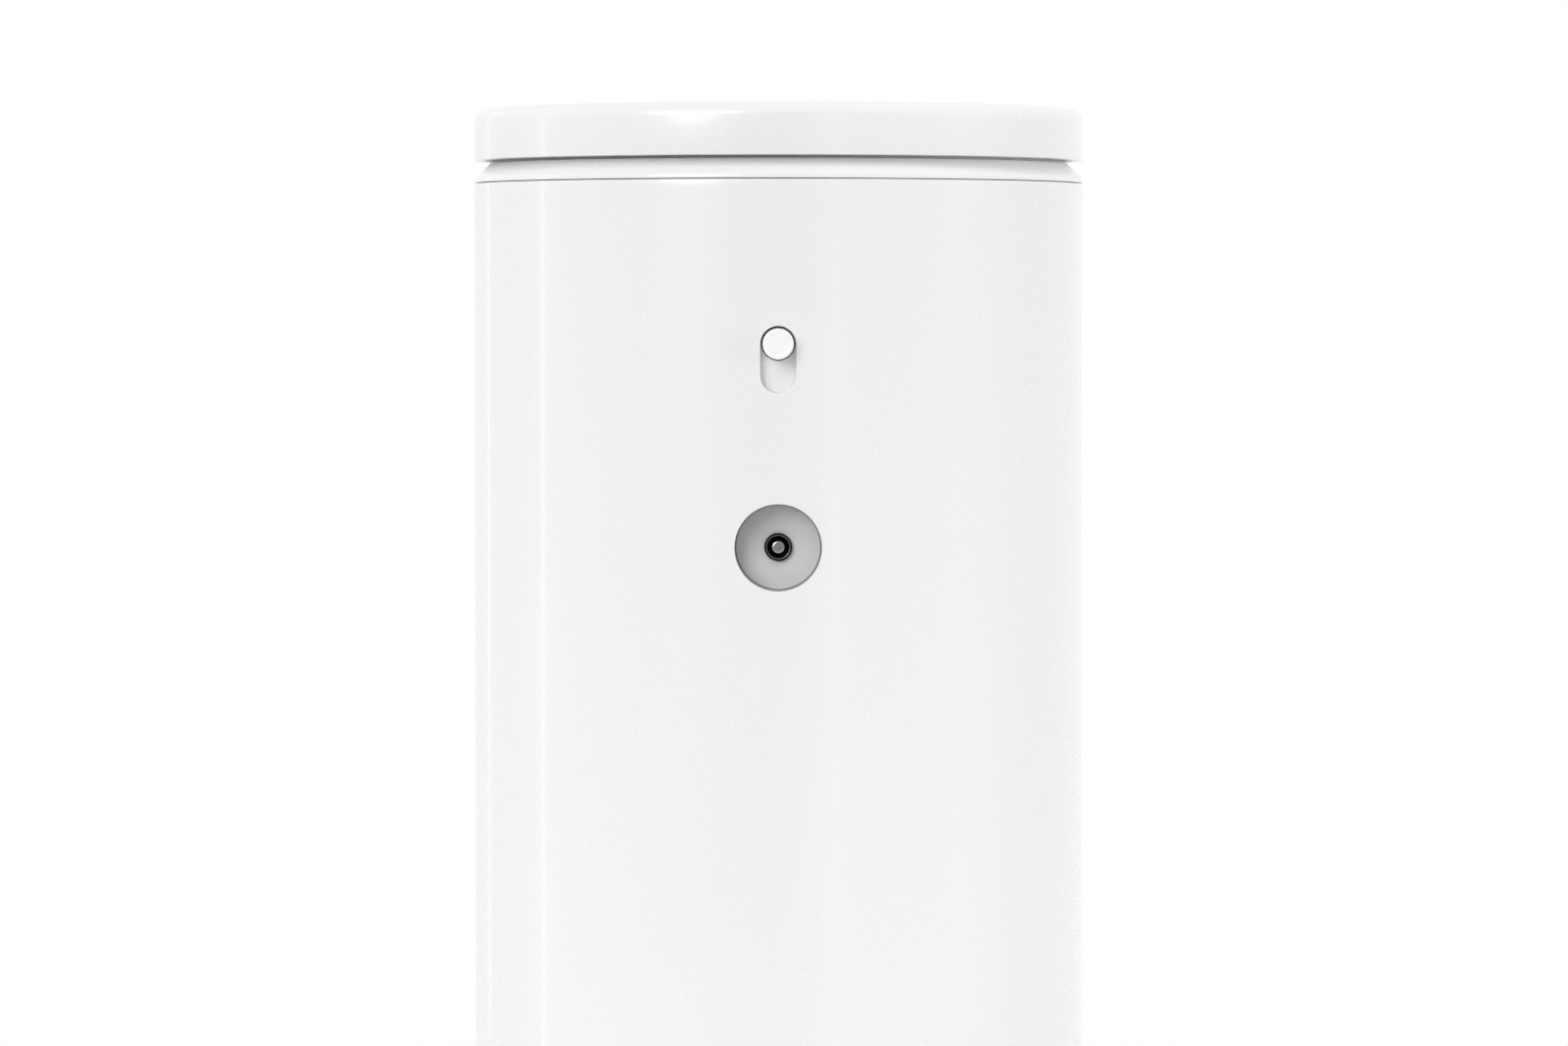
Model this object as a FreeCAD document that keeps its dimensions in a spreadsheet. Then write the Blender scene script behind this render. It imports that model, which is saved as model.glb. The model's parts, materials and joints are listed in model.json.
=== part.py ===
"""Tower air purifier: a white upright column with a lift-off lid.

Air is drawn in through slots round the foot, pushed up by a ducted fan into the core of a pleated
filter, passes outwards through it and leaves by the grille in the lid. The filter hangs from the
lid. The back, which faces -Y, has a slide switch above the recess of the power inlet.

Row frame: millimetres, +Z up, the floor at Z = 0 and the column's axis on the Z axis.
"""

import FreeCAD, Part
import math
import os
import re

import Sketcher

# Driving dimensions: alias and millimetres, or degrees or a count where the name says so.
SIZES = {
    # column
    "body_radius": 77.5,
    "wall": 2.5,
    "total_height": 310,
    "lid_height": 13,
    "lid_crown": 3.25,
    "lid_gap": 0.6,
    "neck_chamfer": 4,
    "neck_band": 1,
    "neck_bore": 69,
    "seam": 0.25,
    "soft_edge": 0.3,
    # foot and intake
    "foot_height": 2.5,
    "foot_outer": 60,
    "foot_inner": 50,
    "base_thickness": 4.5,
    "cover_top": 66,
    "slot_half_width": 1.5,
    "slot_low": 14,
    "slot_high": 59,
    "slot_count": 60,
    "screen_radius": 72,
    "screen_thickness": 0.6,
    # slide switch on the back
    "knob_level": 251.1,
    "knob_radius": 3.77,
    "knob_reach": 3,
    "knob_travel": 7.7,
    "track_radius": 4.365,
    "plate_thickness": 1.5,
    "plate_half_width": 8,
    # power inlet on the back
    "inlet_level": 201.5,
    "well_radius": 10.65,
    "well_depth": 7,
    "well_wall": 1.65,
    "well_floor": 1.5,
    "groove_width": 0.35,
    "groove_depth": 0.6,
    "sleeve_radius": 3.3,
    "sleeve_reach": 1,
    "socket_radius": 3,
    "socket_depth": 9,
    "contact_wall": 0.2,
    "pin_radius": 1.6,
    # control board
    "board_face": 58,
    "board_thickness": 1.6,
    "board_half_width": 26,
    "board_low": 184,
    "board_high": 273,
    "post_offset": 21,
    "post_inset": 7,
    "post_radius": 3,
    # fan and motor
    "deck_level": 60,
    "deck_thickness": 2.4,
    "deck_post_pitch": 66.5,
    "deck_post_radius": 4,
    "grommet_height": 2,
    "flange_radius": 66,
    "flange_pitch": 61,
    "duct_radius": 50,
    "duct_wall": 1.8,
    "duct_top": 108,
    "hub_radius": 22,
    "tip_gap": 1.2,
    "blade_count": 7,
    "vane_count": 9,
    "shaft_radius": 2,
    "bearing_radius": 5,
    "bearing_height": 4,
    # filter chamber and cartridge
    "chamber_radius": 52,
    "chamber_top": 279.5,
    "seat_level": 118,
    "cap_radius": 45,
    "core_radius": 28,
    "carbon_outer": 33,
    "media_outer": 43.4,
    "media_low": 123,
    "media_high": 280,
    "lug_radius": 17.8,
    "neck_radius": 13.8,
    # lid
    "duct_ring": 54,
    "grille_outer": 57.8,
    "grille_level": 306.5,
    "grille_height": 3,
    "grille_pitch": 4.6,
    "grille_bar": 1.6,
    "grille_disc": 12,
    # fasteners
    "screw_radius": 1.25,
    "screw_head_radius": 2.6,
    "screw_head_height": 1.6,
}

# Levels and radii that follow from them, as expressions.
LID_BASE = "(total_height - lid_height)"
NECK_TOP = f"({LID_BASE} - lid_gap)"
BAND_TOP = f"({NECK_TOP} - neck_chamfer)"
BAND_BASE = f"({BAND_TOP} - neck_band)"
SHELL_TOP = f"({BAND_BASE} - seam)"
SHELL_BASE = "(cover_top + seam)"
BASE_TOP = "(foot_height + base_thickness)"
COVER_BASE = f"({BASE_TOP} + seam)"
BORE = "(body_radius - wall)"
SPIGOT = f"({BORE} - 0.2)"
NECK_FOOT = f"({BAND_BASE} - 9.4)"
WELL_FACE = "(body_radius - well_depth)"
WELL_BACK = f"({WELL_FACE} - well_floor)"
PLATE_FACE = f"({BORE} - 0.3)"
PLATE_BACK = f"({PLATE_FACE} - plate_thickness)"
DECK_TOP = "(deck_level + deck_thickness)"
FLANGE_LEVEL = f"({DECK_TOP} + grommet_height)"
DUCT_OUTER = "(duct_radius + duct_wall)"
CHAMBER_OUTER = "(chamber_radius + duct_wall)"
SOCKET_FLOOR = f"({WELL_FACE} + sleeve_reach - socket_depth)"

FOUR_WAYS = (0, 90, 180, 270)
FOUR_CORNERS = (45, 135, 225, 315)
THREE_WAYS = (0, 120, 240)
LUG_REST_ANGLE = 40  # degrees that the cartridge turns between locked and free in the lid
LUG_HALF_ANGLE = 15
CLOCKWISE_BACK = FreeCAD.Rotation(FreeCAD.Vector(1, 0, 0), 90)  # turns +Z to -Y

doc = FreeCAD.newDocument("AirPurifier")
sheet = doc.addObject("Spreadsheet::Sheet", "Sizes")
for line, (alias, number) in enumerate(SIZES.items(), 1):
    sheet.set(f"A{line}", str(number))
    sheet.setAlias(f"A{line}", alias)
doc.recompute()

ALIASES = re.compile(r"\b(" + "|".join(sorted(SIZES, key=len, reverse=True)) + r")\b")
nodes = []


# ---------------------------------------------------------------- helpers
def bound(expression):
    """The expression with each alias written as a reference to the sheet."""
    return ALIASES.sub(lambda found: "Sizes." + found.group(0), str(expression))


def value(expression):
    """The expression's number now."""
    return float(sheet.evalExpression(str(expression)))


def keep(item, label):
    """Labels a finished sub-part and marks it for export."""
    item.Label = label
    nodes.append(item)
    return item


def new_body(name):
    return doc.addObject("PartDesign::Body", name.title().replace("_", ""))


def sketch_on(body, plane_role, offset="0"):
    """An empty sketch on one of the body's origin planes, moved along its normal.

    On XY_Plane the sketch's axes are +X and +Y and its normal is +Z. On XZ_Plane they are +X and +Z
    and its normal is -Y, the way the back faces.
    """
    sketch = body.newObject("Sketcher::SketchObject", body.Name + "Sketch")
    plane = next(p for p in body.Origin.OriginFeatures if p.Role == plane_role)
    sketch.AttachmentSupport = [(plane, "")]
    sketch.MapMode = "FlatFace"
    sketch.setExpression("AttachmentOffset.Base.z", bound(offset))
    return sketch


def pin(sketch, element, point, x, y):
    """Fixes one point of a sketch element at the pair of expressions."""
    for axis, kind, place in ((-2, "DistanceX", x), (-1, "DistanceY", y)):
        number = value(place)
        if abs(number) < 1e-9:
            sketch.addConstraint(Sketcher.Constraint("PointOnObject", element, point, axis))
        else:
            index = sketch.addConstraint(Sketcher.Constraint(kind, -1, 1, element, point, number))
            sketch.setExpression(f"Constraints[{index}]", bound(place))


def at(x, y):
    return FreeCAD.Vector(value(x), value(y), 0)


def outline(sketch, corners):
    """A closed run of straight lines through the corners, each a pair of expressions."""
    first, count = sketch.GeometryCount, len(corners)
    for i in range(count):
        line = Part.LineSegment(at(*corners[i]), at(*corners[(i + 1) % count]))
        sketch.addGeometry(line, False)
    for i in range(count):
        joint = Sketcher.Constraint("Coincident", first + i, 2, first + (i + 1) % count, 1)
        sketch.addConstraint(joint)
    for i, (x, y) in enumerate(corners):
        pin(sketch, first + i, 1, x, y)


def circle(sketch, x, y, radius):
    index = sketch.addGeometry(Part.Circle(at(x, y), FreeCAD.Vector(0, 0, 1), value(radius)), False)
    pin(sketch, index, 3, x, y)
    ring = sketch.addConstraint(Sketcher.Constraint("Radius", index, value(radius)))
    sketch.setExpression(f"Constraints[{ring}]", bound(radius))


def pill(sketch, x, low, high, radius):
    """An upright slot with round ends, whose end centres are at the levels low and high."""
    upper, lower, across = at(x, high), at(x, low), FreeCAD.Vector(value(radius), 0, 0)
    up = FreeCAD.Vector(0, 0, 1)
    top = Part.ArcOfCircle(Part.Circle(upper, up, value(radius)), 0, math.pi)
    bottom = Part.ArcOfCircle(Part.Circle(lower, up, value(radius)), math.pi, 2 * math.pi)
    left = Part.LineSegment(upper - across, lower - across)
    right = Part.LineSegment(lower + across, upper + across)
    first = sketch.GeometryCount
    for shape in (top, left, bottom, right):
        sketch.addGeometry(shape, False)
    for i in range(4):
        sketch.addConstraint(Sketcher.Constraint("Tangent", first + i, 2, first + (i + 1) % 4, 1))
    sketch.addConstraint(Sketcher.Constraint("Equal", first, first + 2))
    pin(sketch, first, 3, x, high)
    pin(sketch, first + 2, 3, x, low)
    ring = sketch.addConstraint(Sketcher.Constraint("Radius", first, value(radius)))
    sketch.setExpression(f"Constraints[{ring}]", bound(radius))


def turned(body, *profiles):
    """Adds the profiles, in radius and height, turned about the column's axis."""
    sketch = sketch_on(body, "XZ_Plane")
    for corners in profiles:
        outline(sketch, corners)
    feature = body.newObject("PartDesign::Revolution", body.Name + "Turned")
    feature.Profile = sketch
    feature.ReferenceAxis = (sketch, ["V_Axis"])
    feature.Angle = 360
    doc.recompute()
    return feature


def raised(body, sketch, length):
    """Pads the sketch along its normal."""
    feature = body.newObject("PartDesign::Pad", body.Name + "Pad")
    feature.Profile = sketch
    feature.setExpression("Length", bound(length))
    doc.recompute()
    return feature


def sunk(body, sketch, length):
    """Cuts the sketch out along its normal."""
    before = body.Shape.Volume
    feature = body.newObject("PartDesign::Pocket", body.Name + "Pocket")
    feature.Profile = sketch
    feature.setExpression("Length", bound(length))
    feature.Reversed = True
    doc.recompute()
    if body.Shape.Volume >= before:
        raise RuntimeError(f"{feature.Name} cuts nothing")
    return feature


def around(body, feature, count):
    """Repeats a feature evenly about the column's axis."""
    pattern = body.newObject("PartDesign::PolarPattern", body.Name + "Around")
    pattern.Originals = [feature]
    axis = next(a for a in body.Origin.OriginFeatures if a.Role == "Z_Axis")
    pattern.Axis = (axis, [""])
    pattern.Angle = 360
    pattern.setExpression("Occurrences", bound(count))
    body.Tip = pattern
    doc.recompute()
    return pattern


def rounded(body, radius, wanted):
    """Fillets the edges of the body's last feature for which wanted(edge) holds."""
    base = body.Tip
    edges = [f"Edge{i}" for i, edge in enumerate(base.Shape.Edges, 1) if wanted(edge)]
    if not edges:
        raise RuntimeError(f"{body.Name} has no edge to round")
    feature = body.newObject("PartDesign::Fillet", body.Name + "Fillet")
    feature.Base = (base, edges)
    feature.setExpression("Radius", bound(radius))
    doc.recompute()
    return feature


def rim(radius, level):
    """A test for the round edge of that radius at that level."""
    wanted_radius, wanted_level = value(radius), value(level)

    def wanted(edge):
        curve = edge.Curve
        return (
            isinstance(curve, Part.Circle)
            and abs(curve.Radius - wanted_radius) < 0.01
            and abs(curve.Center.z - wanted_level) < 0.01
            and math.hypot(curve.Center.x, curve.Center.y) < 0.01
        )

    return wanted


def place(item, x, y, z, rotation=None):
    """Puts a primitive at three expressions."""
    if rotation is not None:
        item.Placement = FreeCAD.Placement(FreeCAD.Vector(0, 0, 0), rotation)
    for letter, expression in zip("xyz", (x, y, z)):
        item.setExpression(f"Placement.Base.{letter}", bound(expression))
    return item


def rod(radius, length, x="0", y="0", z="0", rotation=None):
    """A cylinder that starts at the point and runs along +Z, or along the turned axis."""
    item = doc.addObject("Part::Cylinder", "Rod")
    item.setExpression("Radius", bound(radius))
    item.setExpression("Height", bound(length))
    return place(item, x, y, z, rotation)


def back_rod(radius, near, far, x, z):
    """A cylinder along -Y, between two distances from the axis."""
    return rod(radius, f"{far} - {near}", x, f"-{near}", z, CLOCKWISE_BACK)


def block(x_range, y_range, z_range):
    """A box between pairs of expressions."""
    item = doc.addObject("Part::Box", "Block")
    ranges = (x_range, y_range, z_range)
    for side, (low, high) in zip(("Length", "Width", "Height"), ranges):
        item.setExpression(side, bound(f"{high} - ({low})"))
    return place(item, *(low for low, high in ranges))


def joined(*items):
    result = doc.addObject("Part::MultiFuse", "Joined")
    result.Shapes = list(items)
    return result


def minus(base, *tools):
    tool = tools[0] if len(tools) == 1 else joined(*tools)
    result = doc.addObject("Part::Cut", "Cut")
    result.Base, result.Tool = base, tool
    return result


def shared(first, second):
    result = doc.addObject("Part::Common", "Shared")
    result.Base, result.Tool = first, second
    return result


def group(items):
    """Separate solids that make one node."""
    result = doc.addObject("Part::Compound", "Group")
    result.Links = list(items)
    return result


def ring_points(pitch, angles):
    """Expressions for the points at those angles on a circle of that pitch radius."""
    for angle in angles:
        yield (f"({pitch}) * cos({angle} deg)", f"({pitch}) * sin({angle} deg)")


def curved_plate(outer, inner, half_width, low, high):
    """A strip of a tube wall on the back, between two levels."""
    tube = minus(rod(outer, f"{high} - ({low})", z=low), rod(inner, f"{high} - ({low})", z=low))
    window = block((f"-({half_width})", half_width), (f"-({outer})", "0"), (low, high))
    return shared(tube, window)


def screw(x, y, z, length, rotation=None):
    """A pan-head screw with a hexagon socket. Its head stands behind the point and its shank ahead."""
    turn = rotation or FreeCAD.Rotation()
    shank = rod("screw_radius", length)
    head = rod("screw_head_radius", "screw_head_height", z="-screw_head_height")
    socket = doc.addObject("Part::Prism", "Socket")
    socket.Polygon = 6
    socket.setExpression("Circumradius", bound("screw_head_radius * 0.45"))
    socket.setExpression("Height", bound("screw_head_height * 0.6"))
    place(socket, "0", "0", "-screw_head_height")
    return place(minus(joined(head, shank), socket), x, y, z, turn)


def blade(radii, staggers, chord, camber, thickness, level, lean):
    """A twisted blade through one thin cambered section at each radius, standing along +X."""
    wires = []
    for radius, stagger in zip(radii, staggers):
        angle = math.radians(stagger)
        half = chord / 2
        mid = []
        for step in (-1, -0.5, 0, 0.5, 1):
            along, bow = step * half, camber * (1 - step * step)
            across = along * math.cos(angle) - bow * math.sin(angle)
            rise = along * math.sin(angle) + bow * math.cos(angle)
            mid.append((across + lean * (radius - radii[0]), rise))
        shift = (-0.5 * thickness * math.sin(angle), 0.5 * thickness * math.cos(angle))
        upper = [(a + shift[0], b + shift[1]) for a, b in mid]
        lower = [(a - shift[0], b - shift[1]) for a, b in mid]
        curves = []
        for run in (upper, list(reversed(lower))):
            points = [FreeCAD.Vector(radius, a, level + b) for a, b in run]
            spline = Part.BSplineCurve()
            spline.interpolate(points)
            curves.append(spline.toShape())
        ends = [
            Part.makeLine(curves[0].Vertexes[-1].Point, curves[1].Vertexes[0].Point),
            Part.makeLine(curves[1].Vertexes[-1].Point, curves[0].Vertexes[0].Point),
        ]
        wires.append(Part.Wire([curves[0], ends[0], curves[1], ends[1]]))
    return Part.makeLoft(wires, True, False)


def swept_tube(points, radius, bends):
    """A round tube along straight runs joined by tangent arcs, one bend radius for each corner."""
    vectors = [FreeCAD.Vector(*p) for p in points]
    edges, start = [], vectors[0]
    for corner, after, bend in zip(vectors[1:-1], vectors[2:], bends):
        inward, outward = (corner - start).normalize(), (after - corner).normalize()
        turn = inward.getAngle(outward)
        tangent = bend * math.tan(turn / 2)
        first, last = corner - inward * tangent, corner + outward * tangent
        middle = (outward - inward).normalize()
        centre = corner + middle * (bend / math.cos(turn / 2))
        edges.append(Part.LineSegment(start, first).toShape())
        edges.append(Part.Arc(first, centre - middle * bend, last).toShape())
        start = last
    edges.append(Part.LineSegment(start, vectors[-1]).toShape())
    path = Part.Wire(edges)
    heading = (vectors[1] - vectors[0]).normalize()
    section = Part.Wire([Part.makeCircle(radius, vectors[0], heading)])
    tube = path.makePipeShell([section], True, False, 1)
    expected = math.pi * radius**2 * path.Length
    print(f"tube: length {path.Length:.1f}, volume {tube.Volume:.1f}, expected {expected:.1f}")
    return tube


def shape_node(label, shape):
    item = doc.addObject("Part::Feature", label.title().replace("_", ""))
    item.Shape = shape
    item.Placement = FreeCAD.Placement()
    return keep(item, label)


# ---------------------------------------------------------------- foot and intake
def make_foot():
    body = new_body("foot_ring")
    corners = [("foot_inner", "0"), ("foot_outer", "0")]
    turned(body, corners + [("foot_outer", "foot_height"), ("foot_inner", "foot_height")])
    rounded(body, "0.6", lambda e: rim("foot_outer", "0")(e) or rim("foot_inner", "0")(e))
    keep(body, "foot_ring")


def make_base_plate():
    """The bottom disc, with a rib that centres the intake cover and four countersunk screw holes."""
    body = new_body("base_plate")
    rib = [(SPIGOT, BASE_TOP), (SPIGOT, f"{BASE_TOP} + 2.5"), ("72.6", f"{BASE_TOP} + 2.5")]
    turned(
        body,
        [("0", "foot_height"), ("body_radius", "foot_height"), ("body_radius", BASE_TOP)]
        + rib
        + [("72.6", BASE_TOP), ("0", BASE_TOP)],
    )
    rounded(body, "1.5", rim("body_radius", "foot_height"))
    rounded(body, "soft_edge", rim("body_radius", BASE_TOP))
    for radius, depth in (("screw_head_radius + 0.4", "2"), ("screw_radius + 0.2", "base_thickness")):
        sketch = sketch_on(body, "XY_Plane", "foot_height")
        for x, y in ring_points("deck_post_pitch", FOUR_CORNERS):
            circle(sketch, x, y, radius)
        sunk(body, sketch, depth)
    keep(body, "base_plate")
    screws = [
        screw(x, y, "foot_height + 2", "18")
        for x, y in ring_points("deck_post_pitch", FOUR_CORNERS)
    ]
    keep(group(screws), "base_screws")


def make_intake():
    """The slotted cover round the foot, and the dust screen behind its slots."""
    body = new_body("intake_cover")
    turned(
        body,
        [
            (BORE, COVER_BASE),
            ("body_radius", COVER_BASE),
            ("body_radius", "cover_top"),
            (BORE, "cover_top"),
        ],
    )
    both = (rim("body_radius", COVER_BASE), rim("body_radius", "cover_top"))
    rounded(body, "soft_edge", lambda e: any(test(e) for test in both))
    sketch = sketch_on(body, "XZ_Plane", "body_radius - 10")
    pill(sketch, "0", "slot_low + slot_half_width", "slot_high - slot_half_width", "slot_half_width")
    around(body, sunk(body, sketch, "12"), "slot_count")
    keep(body, "intake_cover")

    screen = new_body("intake_screen")
    low, high = f"{BASE_TOP} + 0.1", "deck_level - 0.1"
    inner = "screen_radius - screen_thickness"
    turned(screen, [(inner, low), ("screen_radius", low), ("screen_radius", high), (inner, high)])
    keep(screen, "intake_screen")


# ---------------------------------------------------------------- outer column
def make_body_shell():
    """The tall tube, with the track hole of the slide switch and the hole of the inlet recess."""
    body = new_body("body_shell")
    turned(
        body,
        [(BORE, SHELL_BASE), ("body_radius", SHELL_BASE), ("body_radius", SHELL_TOP), (BORE, SHELL_TOP)],
    )
    ends = (rim("body_radius", SHELL_BASE), rim("body_radius", SHELL_TOP))
    rounded(body, "soft_edge * 0.7", lambda e: any(test(e) for test in ends))
    sketch = sketch_on(body, "XZ_Plane", "body_radius - 10")
    circle(sketch, "0", "inlet_level", "well_radius")
    pill(sketch, "0", "knob_level - knob_travel", "knob_level", "track_radius")
    sunk(body, sketch, "12")
    reach = value("well_radius + 1")
    low, high = value(f"{SHELL_BASE} + 5"), value(f"{SHELL_TOP} - 5")

    def outer_hole_edge(edge):
        box = edge.BoundBox
        if box.ZMin < low or box.ZMax > high or box.YMax > 0 or max(-box.XMin, box.XMax) > reach:
            return False
        radii = (math.hypot(point.x, point.y) for point in edge.discretize(5))
        return all(abs(radius - value("body_radius")) < 0.02 for radius in radii)

    rounded(body, "soft_edge", outer_hole_edge)
    keep(body, "body_shell")


def make_shoulder_ring():
    """The neck under the lid: a chamfer, a narrow band above the seam, and a spigot in the shell."""
    body = new_body("shoulder_ring")
    turned(
        body,
        [
            ("neck_bore", NECK_FOOT),
            (SPIGOT, NECK_FOOT),
            (SPIGOT, BAND_BASE),
            ("body_radius", BAND_BASE),
            ("body_radius", BAND_TOP),
            ("body_radius - neck_chamfer", NECK_TOP),
            ("neck_bore", NECK_TOP),
        ],
    )
    rounded(body, "1.4", rim("body_radius", BAND_TOP))
    rounded(body, "soft_edge", rim("body_radius - neck_chamfer", NECK_TOP))
    rounded(body, "soft_edge", rim("neck_bore", NECK_TOP))
    rounded(body, "soft_edge * 0.7", rim("body_radius", BAND_BASE))
    sketch = sketch_on(body, "XY_Plane", NECK_FOOT)
    for x, y in ring_points("neck_bore + 2.9", FOUR_CORNERS):
        circle(sketch, x, y, "screw_radius + 0.1")
    sunk(body, sketch, "7")
    keep(body, "shoulder_ring")


def make_top_deck():
    """The annular plate that closes the space between the filter chamber and the column."""
    body = new_body("top_deck")
    low = "chamber_top + 0.1"
    sketch = sketch_on(body, "XY_Plane", low)
    circle(sketch, "0", "0", SPIGOT)
    circle(sketch, "0", "0", "chamber_radius")
    for x, y in ring_points("neck_bore + 2.9", FOUR_CORNERS):
        circle(sketch, x, y, "screw_radius + 0.2")
    raised(body, sketch, f"{NECK_FOOT} - 0.05 - ({low})")
    keep(body, "top_deck")
    screws = [screw(x, y, low, "8") for x, y in ring_points("neck_bore + 2.9", FOUR_CORNERS)]
    keep(group(screws), "deck_screws")


# ---------------------------------------------------------------- slide switch
def make_slide_switch():
    """Knob, curved cover plate and stem, which move, in a guide frame and a switch, which don't."""
    knob = back_rod("knob_radius", "70", "(body_radius + knob_reach)", "0", "knob_level")
    face = doc.addObject("Part::Fillet", "KnobFace")
    face.Base = knob
    outer = value("body_radius + knob_reach")
    doc.recompute()
    edges = [i for i, e in enumerate(knob.Shape.Edges, 1) if abs(e.CenterOfMass.y + outer) < 0.01]
    face.Edges = [(i, 0.35, 0.35) for i in edges]
    below, tall = "knob_level - 2 * knob_radius", "4 * knob_radius"
    keep(minus(face, rod(PLATE_FACE, tall, z=below)), "slider_knob")

    track_low = "(knob_level - knob_travel - track_radius)"
    track_high = "(knob_level + track_radius)"
    plate_low, plate_high = f"({track_low} - 1)", f"({track_high} + knob_travel + 1)"
    plate = curved_plate(PLATE_FACE, PLATE_BACK, "plate_half_width", plate_low, plate_high)
    keep(plate, "slider_plate")

    stem = block(("-2", "2"), (f"-{PLATE_BACK} - 1", "-62"), ("knob_level - 2.5", "knob_level + 2.5"))
    keep(shared(stem, rod(PLATE_BACK, "10", z="knob_level - 5")), "switch_stem")

    low, high = f"({plate_low} - knob_travel - 4)", f"({plate_high} + 4)"
    frame = curved_plate(f"({BORE} - 0.05)", f"({PLATE_BACK} - 2.2)", "12", low, high)
    travel = (f"{plate_low} - knob_travel - 0.3", f"{plate_high} + 0.3")
    pocket = curved_plate(BORE, f"({PLATE_BACK} - 0.35)", "(plate_half_width + 0.4)", *travel)
    window = block(("-4", "4"), ("-80", "-60"), ("knob_level - knob_travel - 6", "knob_level + 6"))
    keep(minus(frame, pocket, window), "slider_guide")

    case = block(("-6", "6"), ("-66", "-board_face"), ("knob_level - 15.1", "knob_level + 7.4"))
    channel = block(
        ("-2.2", "2.2"), ("-67", "-61.5"), ("knob_level - knob_travel - 2.8", "knob_level + 2.8")
    )
    keep(minus(case, channel), "switch_body")


# ---------------------------------------------------------------- power inlet
def make_power_inlet():
    """The recess cup behind the shell's hole, and the socket whose sleeve stands out of its floor.

    A narrow groove runs round the cup's floor, where the floor disc meets the wall.
    """
    rim_radius = "(well_radius + well_wall)"
    cup = shared(
        back_rod(rim_radius, WELL_BACK, "body_radius", "0", "inlet_level"),
        rod(f"{BORE} - 0.02", "40", z="inlet_level - 20"),
    )
    hollow = back_rod("well_radius", WELL_FACE, "(body_radius + 1)", "0", "inlet_level")
    passage = back_rod("(sleeve_radius + 0.08)", f"({WELL_BACK} - 1)", "body_radius", "0", "inlet_level")
    groove = minus(
        back_rod("well_radius", f"({WELL_FACE} - groove_depth)", f"({WELL_FACE} + 0.1)", "0", "inlet_level"),
        back_rod("(well_radius - groove_width)", f"({WELL_FACE} - 1)", "body_radius", "0", "inlet_level"),
    )
    keep(minus(cup, hollow, passage, groove), "inlet_well")

    mouth = f"({WELL_FACE} + sleeve_reach)"
    case = block(
        ("-5.5", "5.5"), (f"-({WELL_BACK} - 0.05)", "-board_face"), ("inlet_level - 6", "inlet_level + 6")
    )
    sleeve = back_rod("sleeve_radius", f"({WELL_BACK} - 1)", mouth, "0", "inlet_level")
    socket = back_rod("socket_radius", SOCKET_FLOOR, f"({mouth} + 1)", "0", "inlet_level")
    bevel = doc.addObject("Part::Cone", "MouthBevel")
    bevel.setExpression("Radius1", bound("socket_radius - 0.1"))
    bevel.setExpression("Radius2", bound("socket_radius + 0.22"))
    bevel.setExpression("Height", "0.32")
    place(bevel, "0", f"-({mouth} - 0.3)", "inlet_level", CLOCKWISE_BACK)
    keep(minus(joined(case, sleeve), socket, bevel), "jack_housing")

    lining = back_rod("socket_radius - 0.01", SOCKET_FLOOR, f"({mouth} - 0.7)", "0", "inlet_level")
    bore = back_rod("socket_radius - contact_wall", SOCKET_FLOOR, mouth, "0", "inlet_level")
    keep(minus(lining, bore), "jack_contact")

    tip = doc.addObject("Part::Cone", "PinTip")
    tip.setExpression("Radius1", bound("pin_radius"))
    tip.setExpression("Radius2", bound("pin_radius - 0.35"))
    tip.setExpression("Height", "0.35")
    place(tip, "0", f"-({mouth} - 0.6)", "inlet_level", CLOCKWISE_BACK)
    shank = back_rod("pin_radius", SOCKET_FLOOR, f"({mouth} - 0.6)", "0", "inlet_level")
    keep(joined(shank, tip), "jack_pin")


# ---------------------------------------------------------------- control board
def board_corners():
    for x in ("-post_offset", "post_offset"):
        for z in ("board_low + post_inset", "board_high - post_inset"):
            yield x, z


def make_control_board():
    """The upright board behind the switch and socket, on four posts from the filter chamber."""
    body = new_body("control_board")
    sketch = sketch_on(body, "XZ_Plane", "board_face - board_thickness")
    left, right = "-board_half_width", "board_half_width"
    outline(
        sketch,
        [(left, "board_low"), (right, "board_low"), (right, "board_high"), (left, "board_high")],
    )
    for x, z in board_corners():
        circle(sketch, x, z, "screw_radius + 0.2")
    raised(body, sketch, "board_thickness")
    keep(body, "control_board")

    back = "(board_face - board_thickness)"
    posts, screws = [], []
    turn = CLOCKWISE_BACK.multiply(FreeCAD.Rotation(FreeCAD.Vector(1, 0, 0), 180))
    for x, z in board_corners():
        solid = back_rod("post_radius", "40", back, x, z)
        bore = back_rod("screw_radius + 0.05", f"({back} - 5)", f"({back} + 1)", x, z)
        tube = rod(CHAMBER_OUTER, "4 * post_radius", z=f"{z} - 2 * post_radius")
        posts.append(minus(solid, bore, tube))
        screws.append(screw(x, "-board_face", z, "6", turn))
    keep(group(posts), "board_posts")
    keep(group(screws), "board_screws")


def make_board_parts():
    """Capacitors, choke, chips and the fan's plug, all on the outer face of the board."""
    can_spots = (("-17", "205"), ("-17", "217"), ("17", "217"))
    cans = [back_rod("4", "board_face", "67", x, z) for x, z in can_spots]
    keep(group(cans), "capacitors")
    chip_spots = (("-22", "-12", "228", "238"), ("9", "16", "232", "239"), ("12", "20", "250", "256"))
    chips = [
        block((x0, x1), ("-board_face - 1.4", "-board_face"), (z0, z1))
        for x0, x1, z0, z1 in chip_spots
    ]
    keep(group(chips), "chips")
    coil = doc.addObject("Part::Torus", "ChokeRing")
    coil.Radius1, coil.Radius2 = 4.4, 2.1
    place(coil, "16.5", "-board_face - 2.15", "204", CLOCKWISE_BACK)
    keep(coil, "choke")
    plug = block(("4", "13"), ("-board_face - 7.5", "-board_face"), ("board_low + 1", "board_low + 7"))
    keep(plug, "fan_plug")


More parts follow.
